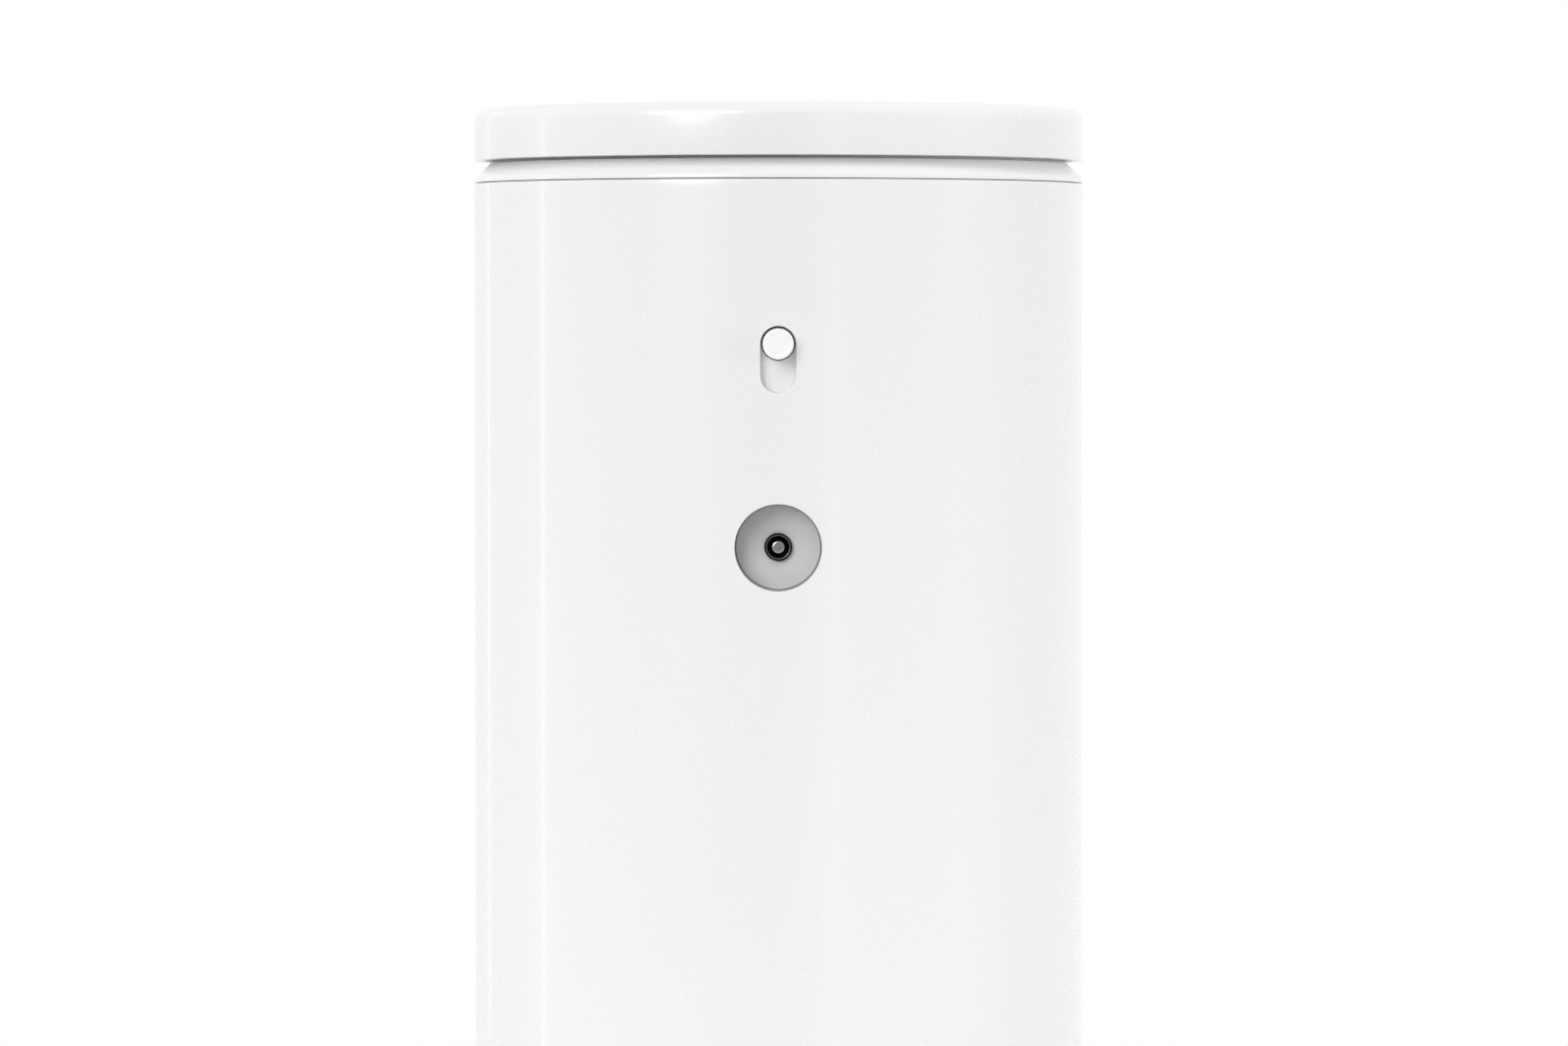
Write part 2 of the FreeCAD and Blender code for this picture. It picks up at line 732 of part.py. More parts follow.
# ---------------------------------------------------------------- fan
def make_fan_deck():
    """The annular floor above the intake, on four posts, with a lip that centres the shell."""
    body = new_body("fan_deck")
    opening, lip, rise = "(duct_radius + 8)", f"({SPIGOT} - 2.2)", "(cover_top + 7)"
    turned(
        body,
        [
            (opening, "deck_level"),
            (SPIGOT, "deck_level"),
            (SPIGOT, rise),
            (lip, rise),
            (lip, DECK_TOP),
            (opening, DECK_TOP),
        ],
    )
    holes = sketch_on(body, "XY_Plane", "deck_level")
    for x, y in ring_points("flange_pitch", FOUR_WAYS):
        circle(holes, x, y, "screw_radius + 0.1")
    sunk(body, holes, "deck_thickness")
    legs = sketch_on(body, "XY_Plane", BASE_TOP)
    for x, y in ring_points("deck_post_pitch", FOUR_CORNERS):
        circle(legs, x, y, "deck_post_radius")
    raised(body, legs, f"deck_level - {BASE_TOP}")
    bores = sketch_on(body, "XY_Plane", BASE_TOP)
    for x, y in ring_points("deck_post_pitch", FOUR_CORNERS):
        circle(bores, x, y, "screw_radius + 0.1")
    sunk(body, bores, "20")
    keep(body, "fan_deck")


def make_fan_housing():
    """The duct, its inlet cone and the rubber grommets and screws that hold it on the deck."""
    cone = new_body("inlet_cone")
    top = f"{FLANGE_LEVEL} - 0.05"
    turned(
        cone,
        [
            ("duct_radius", top),
            ("duct_radius", "deck_level + 1.5"),
            ("duct_radius + 2", "deck_level - 1.6"),
            ("duct_radius + 6", "deck_level - 3.5"),
            ("57.5", "deck_level - 3.5"),
            ("57.5", "deck_level - 2.5"),
            ("duct_radius + 3.4", "deck_level - 0.6"),
            (DUCT_OUTER, "deck_level + 2.3"),
            (DUCT_OUTER, top),
        ],
    )
    keep(cone, "inlet_cone")

    body = new_body("fan_housing")
    flange_top = f"({FLANGE_LEVEL} + 2)"
    turned(
        body,
        [
            ("duct_radius", FLANGE_LEVEL),
            ("flange_radius", FLANGE_LEVEL),
            ("flange_radius", flange_top),
            (DUCT_OUTER, flange_top),
            (DUCT_OUTER, "duct_top"),
            ("duct_radius", "duct_top"),
        ],
    )
    sketch = sketch_on(body, "XY_Plane", FLANGE_LEVEL)
    for x, y in ring_points("flange_pitch", FOUR_WAYS):
        circle(sketch, x, y, "screw_radius + 0.2")
    sunk(body, sketch, "2")
    keep(body, "fan_housing")

    grommets, screws = [], []
    over = FreeCAD.Rotation(FreeCAD.Vector(1, 0, 0), 180)
    for x, y in ring_points("flange_pitch", FOUR_WAYS):
        solid = rod("4", "grommet_height - 0.02", x, y, f"{DECK_TOP} + 0.01")
        hole = rod("screw_radius + 0.2", "grommet_height + 1", x, y, f"{DECK_TOP} - 0.5")
        grommets.append(minus(solid, hole))
        screws.append(screw(x, y, flange_top, "6", over))
    keep(group(grommets), "fan_grommets")
    keep(group(screws), "fan_screws")


def turned_shape(corners):
    """A plain turned solid from a profile of expressions, for shapes that blades are fused to."""
    points = [FreeCAD.Vector(value(r), 0, value(z)) for r, z in corners]
    face = Part.Face(Part.makePolygon(points + points[:1]))
    return face.revolve(FreeCAD.Vector(0, 0, 0), FreeCAD.Vector(0, 0, 1), 360)


def ring_of(shape, count):
    """The shape repeated evenly about the axis."""
    copies = []
    for i in range(count):
        copy = shape.copy()
        copy.rotate(FreeCAD.Vector(0, 0, 0), FreeCAD.Vector(0, 0, 1), 360 * i / count)
        copies.append(copy)
    return copies


def make_impeller():
    """The domed hub and its twisted blades, open at the top for the motor."""
    hub = turned_shape(
        [
            ("0", "62"),
            ("9", "62"),
            ("14", "64"),
            ("19", "66.8"),
            ("hub_radius", "71"),
            ("hub_radius", "92"),
            ("18.6", "92"),
            ("18.6", "69.4"),
            ("shaft_radius", "69.4"),
            ("shaft_radius", "66"),
            ("0", "66"),
        ]
    )
    tip = value("duct_radius - tip_gap")
    one = blade((19.5, 29, 39, tip + 2), (52, 43, 35, 29), 24, -2.9, 1.5, 80, 0.18)
    limit = Part.makeCylinder(tip, 60, FreeCAD.Vector(0, 0, 50))
    keep_out = Part.makeCylinder(20, 60, FreeCAD.Vector(0, 0, 50))
    trimmed = one.common(limit).cut(keep_out)
    shape_node("impeller", hub.fuse(ring_of(trimmed, int(value("blade_count")))).removeSplitter())


def make_stator_frame():
    """The guide vanes above the impeller, which carry the motor and its bearing tube."""
    tube = "(bearing_radius + 0.05)"
    centre = turned_shape(
        [
            ("0", "102"),
            (tube, "102"),
            (tube, "82"),
            ("7.2", "82"),
            ("7.2", "102"),
            ("20.3", "102"),
            ("20.3", "94"),
            ("hub_radius", "94"),
            ("hub_radius", "104.5"),
            ("0", "104.5"),
        ]
    )
    ring_in, ring_out = "duct_radius - 1.8", "duct_radius - 0.1"
    ring = turned_shape([(ring_in, "94"), (ring_out, "94"), (ring_out, "106.5"), (ring_in, "106.5")])
    one = blade((21, 30, 40, 50), (112, 110, 108, 106), 11.5, 1.4, 1.4, 100.2, 0)
    limit = Part.makeCylinder(value("duct_radius - 1"), 60, FreeCAD.Vector(0, 0, 60))
    trimmed = one.common(limit)
    whole = centre.fuse([ring] + ring_of(trimmed, int(value("vane_count"))))
    shape_node("stator_frame", whole.removeSplitter())


def make_motor():
    """An outer-rotor motor: core, windings and board stand still, the can and magnets turn."""
    body = new_body("motor_core")
    sketch = sketch_on(body, "XY_Plane", "75")
    circle(sketch, "0", "0", "15")
    circle(sketch, "0", "0", "7.25")
    raised(body, sketch, "13")
    slot = sketch_on(body, "XY_Plane", "75")
    circle(slot, "11.2", "0", "2.6")
    around(body, sunk(body, slot, "13"), "vane_count")
    keep(body, "motor_core")
    angles = [40 * i for i in range(9)]
    coils = [rod("2.5", "17", x, y, "73") for x, y in ring_points("11.2", angles)]
    keep(group(coils), "motor_coils")

    board = new_body("motor_board")
    turned(board, [("7.4", "92.6"), ("16.5", "92.6"), ("16.5", "93.8"), ("7.4", "93.8")])
    keep(board, "motor_board")

    for label, level in (("lower_bearing", "83"), ("upper_bearing", "97")):
        bearing = new_body(label)
        bore, top = "shaft_radius + 0.03", f"{level} + bearing_height"
        turned(
            bearing,
            [(bore, level), ("bearing_radius", level), ("bearing_radius", top), (bore, top)],
        )
        keep(bearing, label)

    can = new_body("rotor_cup")
    turned(
        can,
        [
            ("shaft_radius", "69.5"),
            ("18.5", "69.5"),
            ("18.5", "90"),
            ("17.3", "90"),
            ("17.3", "70.7"),
            ("shaft_radius", "70.7"),
        ],
    )
    keep(can, "rotor_cup")
    magnet = new_body("magnet_ring")
    turned(magnet, [("15.6", "74"), ("17.25", "74"), ("17.25", "89"), ("15.6", "89")])
    keep(magnet, "magnet_ring")
    keep(rod("shaft_radius", "35.8", z="66"), "shaft")
    clip = new_body("shaft_clip")
    turned(clip, [("shaft_radius", "101.1"), ("3.6", "101.1"), ("3.6", "101.6"), ("shaft_radius", "101.6")])
    keep(clip, "shaft_clip")


def make_fan_cable():
    """The motor's lead, from a grommet in the duct up to the plug on the control board."""
    angle = math.radians(-62)
    wall = value(DUCT_OUTER)
    level = 101
    out = FreeCAD.Vector(math.cos(angle), math.sin(angle), 0)
    route = [
        out * wall + FreeCAD.Vector(0, 0, level),
        out * 64 + FreeCAD.Vector(0, 0, level),
        out * 64 + FreeCAD.Vector(0, 0, 160),
        FreeCAD.Vector(8.5, -62, value("board_low") - 8),
        FreeCAD.Vector(8.5, -62, value("board_low") + 1),
    ]
    shape_node("fan_cable", swept_tube(route, 1.5, (9, 12, 10)))
    sleeve = Part.makeCylinder(3.2, 3, out * (wall + 0.4) + FreeCAD.Vector(0, 0, level), out)
    bore = Part.makeCylinder(1.52, 5, out * wall + FreeCAD.Vector(0, 0, level), out)
    clear = Part.makeCylinder(wall + 0.02, 20, FreeCAD.Vector(0, 0, level - 10))
    shape_node("cable_grommet", sleeve.cut(bore).cut(clear))


# ---------------------------------------------------------------- filter
def make_chamber():
    """The tube that the cartridge hangs in, and the cone that feeds air into its core."""
    body = new_body("filter_chamber")
    low = "duct_top + 0.05"
    turned(
        body,
        [("chamber_radius", low), (CHAMBER_OUTER, low), (CHAMBER_OUTER, "chamber_top"),
         ("chamber_radius", "chamber_top")],
    )
    keep(body, "filter_chamber")
    seat = new_body("filter_seat")
    wall_radius = "chamber_radius - 0.1"
    turned(
        seat,
        [
            ("core_radius - 0.5", "seat_level - 2"),
            ("core_radius - 0.5", "seat_level"),
            ("46", "seat_level"),
            (wall_radius, "seat_level - 5"),
            (wall_radius, "seat_level - 7.5"),
            ("45.2", "seat_level - 2"),
        ],
    )
    keep(seat, "filter_seat")


def make_cartridge():
    """Seal, end caps, core tube, carbon sleeve and pleated pack, as plain rings, and the lugs."""
    rings = (
        ("filter_seal", "30", "42", "seat_level + 0.4", "media_low - 2"),
        ("core_tube", "core_radius", "core_radius + 0.8", "media_low", "media_high"),
        ("carbon_sleeve", "core_radius + 1", "carbon_outer", "media_low", "media_high"),
        ("filter_pack", "carbon_outer + 0.2", "media_outer", "media_low", "media_high"),
    )
    for label, inner, outer, low, high in rings:
        body = new_body(label)
        turned(body, [(inner, low), (outer, low), (outer, high), (inner, high)])
        keep(body, label)

    low_cap = new_body("filter_bottom_cap")
    lip = "media_low + 3"
    turned(
        low_cap,
        [
            ("core_radius - 1.5", "media_low - 2"),
            ("cap_radius", "media_low - 2"),
            ("cap_radius", lip),
            ("cap_radius - 1.4", lip),
            ("cap_radius - 1.4", "media_low"),
            ("core_radius - 0.1", "media_low"),
            ("core_radius - 0.1", lip),
            ("core_radius - 1.5", lip),
        ],
    )
    rounded(low_cap, "0.8", rim("cap_radius", "media_low - 2"))
    keep(low_cap, "filter_bottom_cap")

    high_cap = new_body("filter_top_cap")
    lip = "media_high - 3"
    turned(
        high_cap,
        [
            ("0", "media_high"),
            ("core_radius - 1.5", "media_high"),
            ("core_radius - 1.5", lip),
            ("core_radius - 0.1", lip),
            ("core_radius - 0.1", "media_high"),
            ("cap_radius - 1.4", "media_high"),
            ("cap_radius - 1.4", lip),
            ("cap_radius", lip),
            ("cap_radius", "media_high + 3"),
            ("neck_radius", "media_high + 3"),
            ("neck_radius", "media_high + 12"),
            ("0", "media_high + 12"),
        ],
    )
    rounded(high_cap, "0.8", rim("cap_radius", "media_high + 3"))
    sketch = sketch_on(high_cap, "XY_Plane", "media_high + 9")
    sector(sketch, "neck_radius - 1", "lug_radius", -LUG_HALF_ANGLE + LUG_REST_ANGLE,
           LUG_HALF_ANGLE + LUG_REST_ANGLE)
    around(high_cap, raised(high_cap, sketch, "2.6"), "3")
    keep(high_cap, "filter_top_cap")


def sector(sketch, inner, outer, start, end):
    """A four-cornered patch between two radii and two angles, in degrees."""
    corners = []
    for radius, angle in ((inner, start), (outer, start), (outer, end), (inner, end)):
        corners.append((f"({radius}) * cos({angle} deg)", f"({radius}) * sin({angle} deg)"))
    outline(sketch, corners)


# ---------------------------------------------------------------- lid
def make_lid_cap():
    """The outer cap of the lid, a shallow shell with a round opening and four bosses inside."""
    body = new_body("lid_cap")
    roof = "(total_height - wall)"
    turned(
        body,
        [
            ("grille_outer + 0.2", roof),
            (BORE, roof),
            (BORE, LID_BASE),
            ("body_radius", LID_BASE),
            ("body_radius", "total_height"),
            ("grille_outer + 0.2", "total_height"),
        ],
    )
    rounded(body, "lid_crown", rim("body_radius", "total_height"))
    rounded(body, "0.5", rim("body_radius", LID_BASE))
    rounded(body, "0.8", rim("grille_outer + 0.2", "total_height"))
    bosses = sketch_on(body, "XY_Plane", f"{LID_BASE} + 2.3")
    for x, y in ring_points("62", FOUR_CORNERS):
        circle(bosses, x, y, "3.4")
    raised(body, bosses, f"{roof} - ({LID_BASE} + 2.3)")
    bores = sketch_on(body, "XY_Plane", f"{LID_BASE} + 2.3")
    for x, y in ring_points("62", FOUR_CORNERS):
        circle(bores, x, y, "screw_radius + 0.1")
    sunk(body, bores, "7")
    keep(body, "lid_cap")


def make_lid_frame():
    """The lid's inner frame: flange, spigot, duct ring, and the hub that the cartridge locks in."""
    body = new_body("lid_frame")
    ledge = "(media_high + 8.8)"
    turned(
        body,
        [
            ("neck_radius + 0.5", f"{ledge} - 2.2"),
            ("22", f"{ledge} - 2.2"),
            ("22", "296"),
            ("0", "296"),
            ("0", "293.6"),
            ("lug_radius + 0.5", "293.6"),
            ("lug_radius + 0.5", ledge),
            ("neck_radius + 0.5", ledge),
        ],
    )
    notch = sketch_on(body, "XY_Plane", f"{ledge} - 2.2")
    half = LUG_HALF_ANGLE + 3
    sector(notch, "neck_radius - 1", "lug_radius + 0.5", -half, half)
    around(body, sunk(body, notch, "2.2"), "3")
    spoke = sketch_on(body, "XY_Plane", "291")
    inner, outer = "21", "duct_ring + 1"
    outline(spoke, [(inner, "-2"), (outer, "-2"), (outer, "2"), (inner, "2")])
    around(body, raised(body, spoke, "5"), "3")
    flange_top = f"({LID_BASE} + 2.2)"
    spigot = "(neck_bore - 0.3)"
    wall_outer = "(duct_ring + 2)"
    turned(
        body,
        [
            ("duct_ring", "chamber_top + 3"),
            (wall_outer, "chamber_top + 3"),
            (wall_outer, LID_BASE),
            (f"{spigot} - 2.2", LID_BASE),
            (f"{spigot} - 2.2", f"{LID_BASE} - 7"),
            (spigot, f"{LID_BASE} - 7"),
            (spigot, LID_BASE),
            (SPIGOT, LID_BASE),
            (SPIGOT, flange_top),
            (wall_outer, flange_top),
            (wall_outer, "grille_level - 0.1"),
            ("duct_ring", "grille_level - 0.1"),
        ],
    )
    holes = sketch_on(body, "XY_Plane", LID_BASE)
    for x, y in ring_points("62", FOUR_CORNERS):
        circle(holes, x, y, "screw_radius + 0.2")
    sunk(body, holes, "2.2")
    keep(body, "lid_frame")
    screws = [screw(x, y, LID_BASE, "7") for x, y in ring_points("62", FOUR_CORNERS)]
    keep(group(screws), "lid_screws")
    seal = new_body("lid_seal")
    inner, outer, low = "neck_bore + 1", "neck_bore + 3.4", f"{NECK_TOP} + 0.1"
    turned(seal, [(inner, low), (outer, low), (outer, LID_BASE), (inner, LID_BASE)])
    keep(seal, "lid_seal")


def make_outlet_grille():
    """Round bars on six ribs, with a disc at the centre and a rim that rests on the frame."""
    body = new_body("outlet_grille")
    top = "(grille_level + grille_height)"
    turned(body, [("0", "grille_level"), ("grille_disc", "grille_level"), ("grille_disc", top), ("0", top)])
    rib = sketch_on(body, "XY_Plane", "grille_level")
    corners = [("grille_disc - 2", "-0.9"), ("grille_outer - 1", "-0.9")]
    outline(rib, corners + [("grille_outer - 1", "0.9"), ("grille_disc - 2", "0.9")])
    around(body, raised(body, rib, "grille_height - 0.8"), "6")
    bars = []
    for i in range(9):
        inner = f"(grille_disc + 3 + grille_pitch * {i})"
        outer = f"({inner} + grille_bar)"
        bars.append([(inner, "grille_level"), (outer, "grille_level"), (outer, top), (inner, top)])
    edge = "(grille_outer - 3.4)"
    rim_corners = [(edge, "grille_level"), ("grille_outer", "grille_level")]
    bars.append(rim_corners + [("grille_outer", top), (edge, top)])
    turned(body, *bars)
    keep(body, "outlet_grille")


# ---------------------------------------------------------------- build and export
def export_all():
    """Checks every object and sub-part, then writes one STEP file for each node."""
    doc.recompute()
    for item in doc.Objects:
        if "Invalid" in item.State or "Error" in item.State:
            raise RuntimeError(f"{item.Name} ({item.Label}) failed: {item.State}")
    for node in nodes:
        if node.Shape.isNull() or not node.Shape.isValid() or not node.Shape.Solids:
            raise RuntimeError(f"{node.Label} has no valid solid")
    os.makedirs("parts", exist_ok=True)
    for node in nodes:
        node.Shape.exportStep(f"parts/{node.Label}.step")
        print(f"{node.Label}: {len(node.Shape.Solids)} solid(s), {node.Shape.Volume:.0f} mm3")
    print(f"{len(nodes)} nodes")


make_foot()
make_base_plate()
make_intake()
make_body_shell()
make_shoulder_ring()
make_top_deck()
make_slide_switch()
make_power_inlet()
make_control_board()
make_board_parts()
make_fan_deck()
make_fan_housing()
make_impeller()
make_stator_frame()
make_motor()
make_fan_cable()
make_chamber()
make_cartridge()
make_lid_cap()
make_lid_frame()
make_outlet_grille()
export_all()
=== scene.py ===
"""Looks of the tower air purifier: outer shells, grille, filter and small parts over the CAD frame."""

import json
import math
import random

import bmesh
import bpy
from mathutils import Matrix, Vector


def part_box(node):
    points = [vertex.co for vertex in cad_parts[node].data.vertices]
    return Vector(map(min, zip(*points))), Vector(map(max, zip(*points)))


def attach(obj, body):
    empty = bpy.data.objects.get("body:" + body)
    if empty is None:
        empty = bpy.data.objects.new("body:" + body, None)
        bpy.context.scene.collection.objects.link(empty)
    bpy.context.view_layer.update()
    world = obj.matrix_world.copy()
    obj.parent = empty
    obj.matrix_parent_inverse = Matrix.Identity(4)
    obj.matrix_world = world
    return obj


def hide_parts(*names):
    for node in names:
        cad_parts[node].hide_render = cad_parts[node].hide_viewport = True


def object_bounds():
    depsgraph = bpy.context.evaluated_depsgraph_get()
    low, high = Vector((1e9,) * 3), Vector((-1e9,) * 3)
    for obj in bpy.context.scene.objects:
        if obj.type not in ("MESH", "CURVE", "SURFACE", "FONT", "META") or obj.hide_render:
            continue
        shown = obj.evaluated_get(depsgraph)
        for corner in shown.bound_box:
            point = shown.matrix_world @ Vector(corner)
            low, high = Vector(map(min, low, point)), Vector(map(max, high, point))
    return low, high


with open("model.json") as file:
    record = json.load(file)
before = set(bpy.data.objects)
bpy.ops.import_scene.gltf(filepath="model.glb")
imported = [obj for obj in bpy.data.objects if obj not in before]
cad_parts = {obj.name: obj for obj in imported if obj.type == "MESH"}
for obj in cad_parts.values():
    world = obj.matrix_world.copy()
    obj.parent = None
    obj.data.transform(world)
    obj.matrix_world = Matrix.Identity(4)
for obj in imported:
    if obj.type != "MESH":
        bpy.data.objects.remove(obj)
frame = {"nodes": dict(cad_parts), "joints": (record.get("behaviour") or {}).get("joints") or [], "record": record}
nodes = frame["nodes"]
cad_low, cad_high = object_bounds()

MM = 0.001
TINY = 1e-7  # closer together than this is the same place
SHARP = math.radians(38)  # edges that turn by more than this stay crisp
BACKWARD = Matrix.Rotation(math.radians(90), 4, "X")  # turns +Z to -Y, the way the back faces
WALL = 2.5 * MM  # of the column, the lid's cap and the intake band
RECESS_WALL = 1.65 * MM  # of the cup of the power inlet

# Lamps stand at an azimuth in degrees to the right of the back's middle line.
SUNS = (  # name, azimuth, degrees above level, strength, softness in degrees
    ("key", -33, 22, 1.46, 36),
    ("fill", 80, 8, 1.26, 36),
    ("top", -12, 54, 0.62, 22),
)
STRIPS = (  # name, azimuth, width in metres, glow
    ("strip_far_left", -141, 0.1, 1.2),
    ("strip_left", -98.5, 0.13, 2.5),
    ("strip_front", 20.6, 0.3, 0.8),
)
LAMP_DISTANCE, LAMP_AIM, STRIP_HEIGHT = 3, Vector((0, 0, 0.2)), 3  # metres


# ---------------------------------------------------------------- materials
DRIFT_SCALE = 22  # drifts of tint to the metre
TRACK_SCALE, GLASS_SCALE = 260, 4000  # the board's tracks, and the grain of its mask, to the metre
MASK_GREEN, TRACK_GREEN = (0.012, 0.09, 0.045), (0.03, 0.2, 0.09)


def texture(tree, kind, scale, coordinates, **settings):
    """A texture node with so many features to the metre, and its other inputs as given."""
    node = tree.nodes.new(kind)
    node.inputs["Scale"].default_value = scale
    tree.links.new(coordinates, node.inputs["Vector"])
    for key, value in settings.items():
        node.inputs[key].default_value = value
    return node


def spread(tree, source, low, high):
    """The middle half of a texture's 0 to 1, mapped onto low to high."""
    node = tree.nodes.new("ShaderNodeMapRange")
    node.inputs["From Min"].default_value = 0.25
    node.inputs["From Max"].default_value = 0.75
    node.inputs["To Min"].default_value = low
    node.inputs["To Max"].default_value = high
    tree.links.new(source, node.inputs["Value"])
    return node.outputs["Result"]


def blended(tree, factor, dark, light):
    """A colour from dark, where the factor is 0, to light, where it is 1."""
    node = tree.nodes.new("ShaderNodeMix")
    node.data_type = "RGBA"
    node.inputs["A"].default_value = (*dark, 1)
    node.inputs["B"].default_value = (*light, 1)
    tree.links.new(factor, node.inputs["Factor"])
    return node.outputs["Result"]


def bumped(tree, height, strength, depth):
    """The normal of a relief of that depth, in metres."""
    node = tree.nodes.new("ShaderNodeBump")
    node.inputs["Strength"].default_value = strength
    node.inputs["Distance"].default_value = depth
    tree.links.new(height, node.inputs["Height"])
    return node.outputs["Normal"]


def blank(name):
    """A material with an empty Principled shader: its tree, its shader and object coordinates."""
    material = bpy.data.materials.new(name)
    material.use_nodes = True
    tree = material.node_tree
    shader = tree.nodes["Principled BSDF"]
    coordinates = tree.nodes.new("ShaderNodeTexCoord").outputs["Object"]
    return material, tree, shader, coordinates


def moulded(name, colour, rough, grain, depth, drift=0.012, **sockets):
    """Moulded plastic or rubber: a slow drift of tint under a fine grain in gloss and relief.

    The grain's size and depth are in mm. The other inputs of the shader are named as keywords.
    """
    material, tree, shader, coordinates = blank(name)
    for key, value in sockets.items():
        shader.inputs[key.replace("_", " ")].default_value = value
    slow = texture(tree, "ShaderNodeTexNoise", DRIFT_SCALE, coordinates, Detail=3.0).outputs["Fac"]
    fine = texture(tree, "ShaderNodeTexNoise", 1 / (grain * MM), coordinates, Detail=4.0)
    dark = [channel * (1 - drift) for channel in colour]
    light = [min(channel * (1 + drift), 1) for channel in colour]
    tree.links.new(blended(tree, slow, dark, light), shader.inputs["Base Color"])
    gloss = spread(tree, fine.outputs["Fac"], rough * 0.96, rough * 1.04)
    tree.links.new(gloss, shader.inputs["Roughness"])
    tree.links.new(bumped(tree, fine.outputs["Fac"], 0.35, depth * MM), shader.inputs["Normal"])
    return material


def metal(name, colour, rough, stretch=(1, 1, 1), grain=0.12):
    """Bare metal with fine machining marks, drawn out along the axes by stretch."""
    material, tree, shader, coordinates = blank(name)
    shader.inputs["Metallic"].default_value = 1
    drawn = tree.nodes.new("ShaderNodeMapping")
    drawn.inputs["Scale"].default_value = stretch
    tree.links.new(coordinates, drawn.inputs["Vector"])
    marks = texture(tree, "ShaderNodeTexNoise", 1 / (grain * MM), drawn.outputs["Vector"], Detail=5.0)
    height = marks.outputs["Fac"]
    dark = [channel * 0.86 for channel in colour]
    tree.links.new(blended(tree, height, dark, colour), shader.inputs["Base Color"])
    tree.links.new(spread(tree, height, rough * 0.8, rough * 1.3), shader.inputs["Roughness"])
    tree.links.new(bumped(tree, height, 0.25, 0.01 * MM), shader.inputs["Normal"])
    return material


def felted(name, colour, shade, fibre, depth):
    """Non-woven media: a relief of tangled fibres, with clumps of a darker shade."""
    material, tree, shader, coordinates = blank(name)
    shader.inputs["Sheen Weight"].default_value = 0.25
    tangle = texture(tree, "ShaderNodeTexNoise", 1 / (fibre * MM), coordinates, Detail=8.0, Distortion=2.5)
    clumps = texture(tree, "ShaderNodeTexNoise", 1 / (9 * fibre * MM), coordinates, Detail=2.0)
    low = [channel * shade for channel in colour]
    tree.links.new(blended(tree, clumps.outputs["Fac"], low, colour), shader.inputs["Base Color"])
    tree.links.new(spread(tree, tangle.outputs["Fac"], 0.82, 0.98), shader.inputs["Roughness"])
    tree.links.new(bumped(tree, tangle.outputs["Fac"], 0.6, depth * MM), shader.inputs["Normal"])
    return material


def cellular(name, colour, cell, depth):
    """Open foam or sponge: rounded pores with paler walls between them, the pores' darker middles painted shade in
    their hollows.
    """
    material, tree, shader, coordinates = blank(name)
    pores = texture(tree, "ShaderNodeTexVoronoi", 1 / (cell * MM), coordinates, Randomness=0.8)
    height = spread(tree, pores.outputs["Distance"], 0, 1)
    low = [channel * 0.35 for channel in colour]
    # painted shade: the colour falls to a third towards each pore's middle, where the relief is lowest
    tree.links.new(blended(tree, height, low, colour), shader.inputs["Base Color"])
    tree.links.new(spread(tree, height, 0.75, 0.95), shader.inputs["Roughness"])
    tree.links.new(bumped(tree, height, 0.9, depth * MM), shader.inputs["Normal"])
    return material


def laminate(name):
    """Circuit board: green mask over a net of raised tracks."""
    material, tree, shader, coordinates = blank(name)
    shader.inputs["Coat Weight"].default_value = 0.4
    tracks = tree.nodes.new("ShaderNodeTexBrick")
    tracks.inputs["Scale"].default_value = TRACK_SCALE
    tracks.inputs["Mortar Size"].default_value = 0.035
    turned = tree.nodes.new("ShaderNodeMapping")
    turned.inputs["Rotation"].default_value = (math.radians(90), 0, 0)
    tree.links.new(coordinates, turned.inputs["Vector"])
    tree.links.new(turned.outputs["Vector"], tracks.inputs["Vector"])
    colour = blended(tree, tracks.outputs["Fac"], MASK_GREEN, TRACK_GREEN)
    tree.links.new(colour, shader.inputs["Base Color"])
    fine = texture(tree, "ShaderNodeTexNoise", GLASS_SCALE, coordinates, Detail=2.0).outputs["Fac"]
    tree.links.new(spread(tree, fine, 0.28, 0.42), shader.inputs["Roughness"])
    tree.links.new(bumped(tree, tracks.outputs["Fac"], 0.6, 0.04 * MM), shader.inputs["Normal"])
    return material


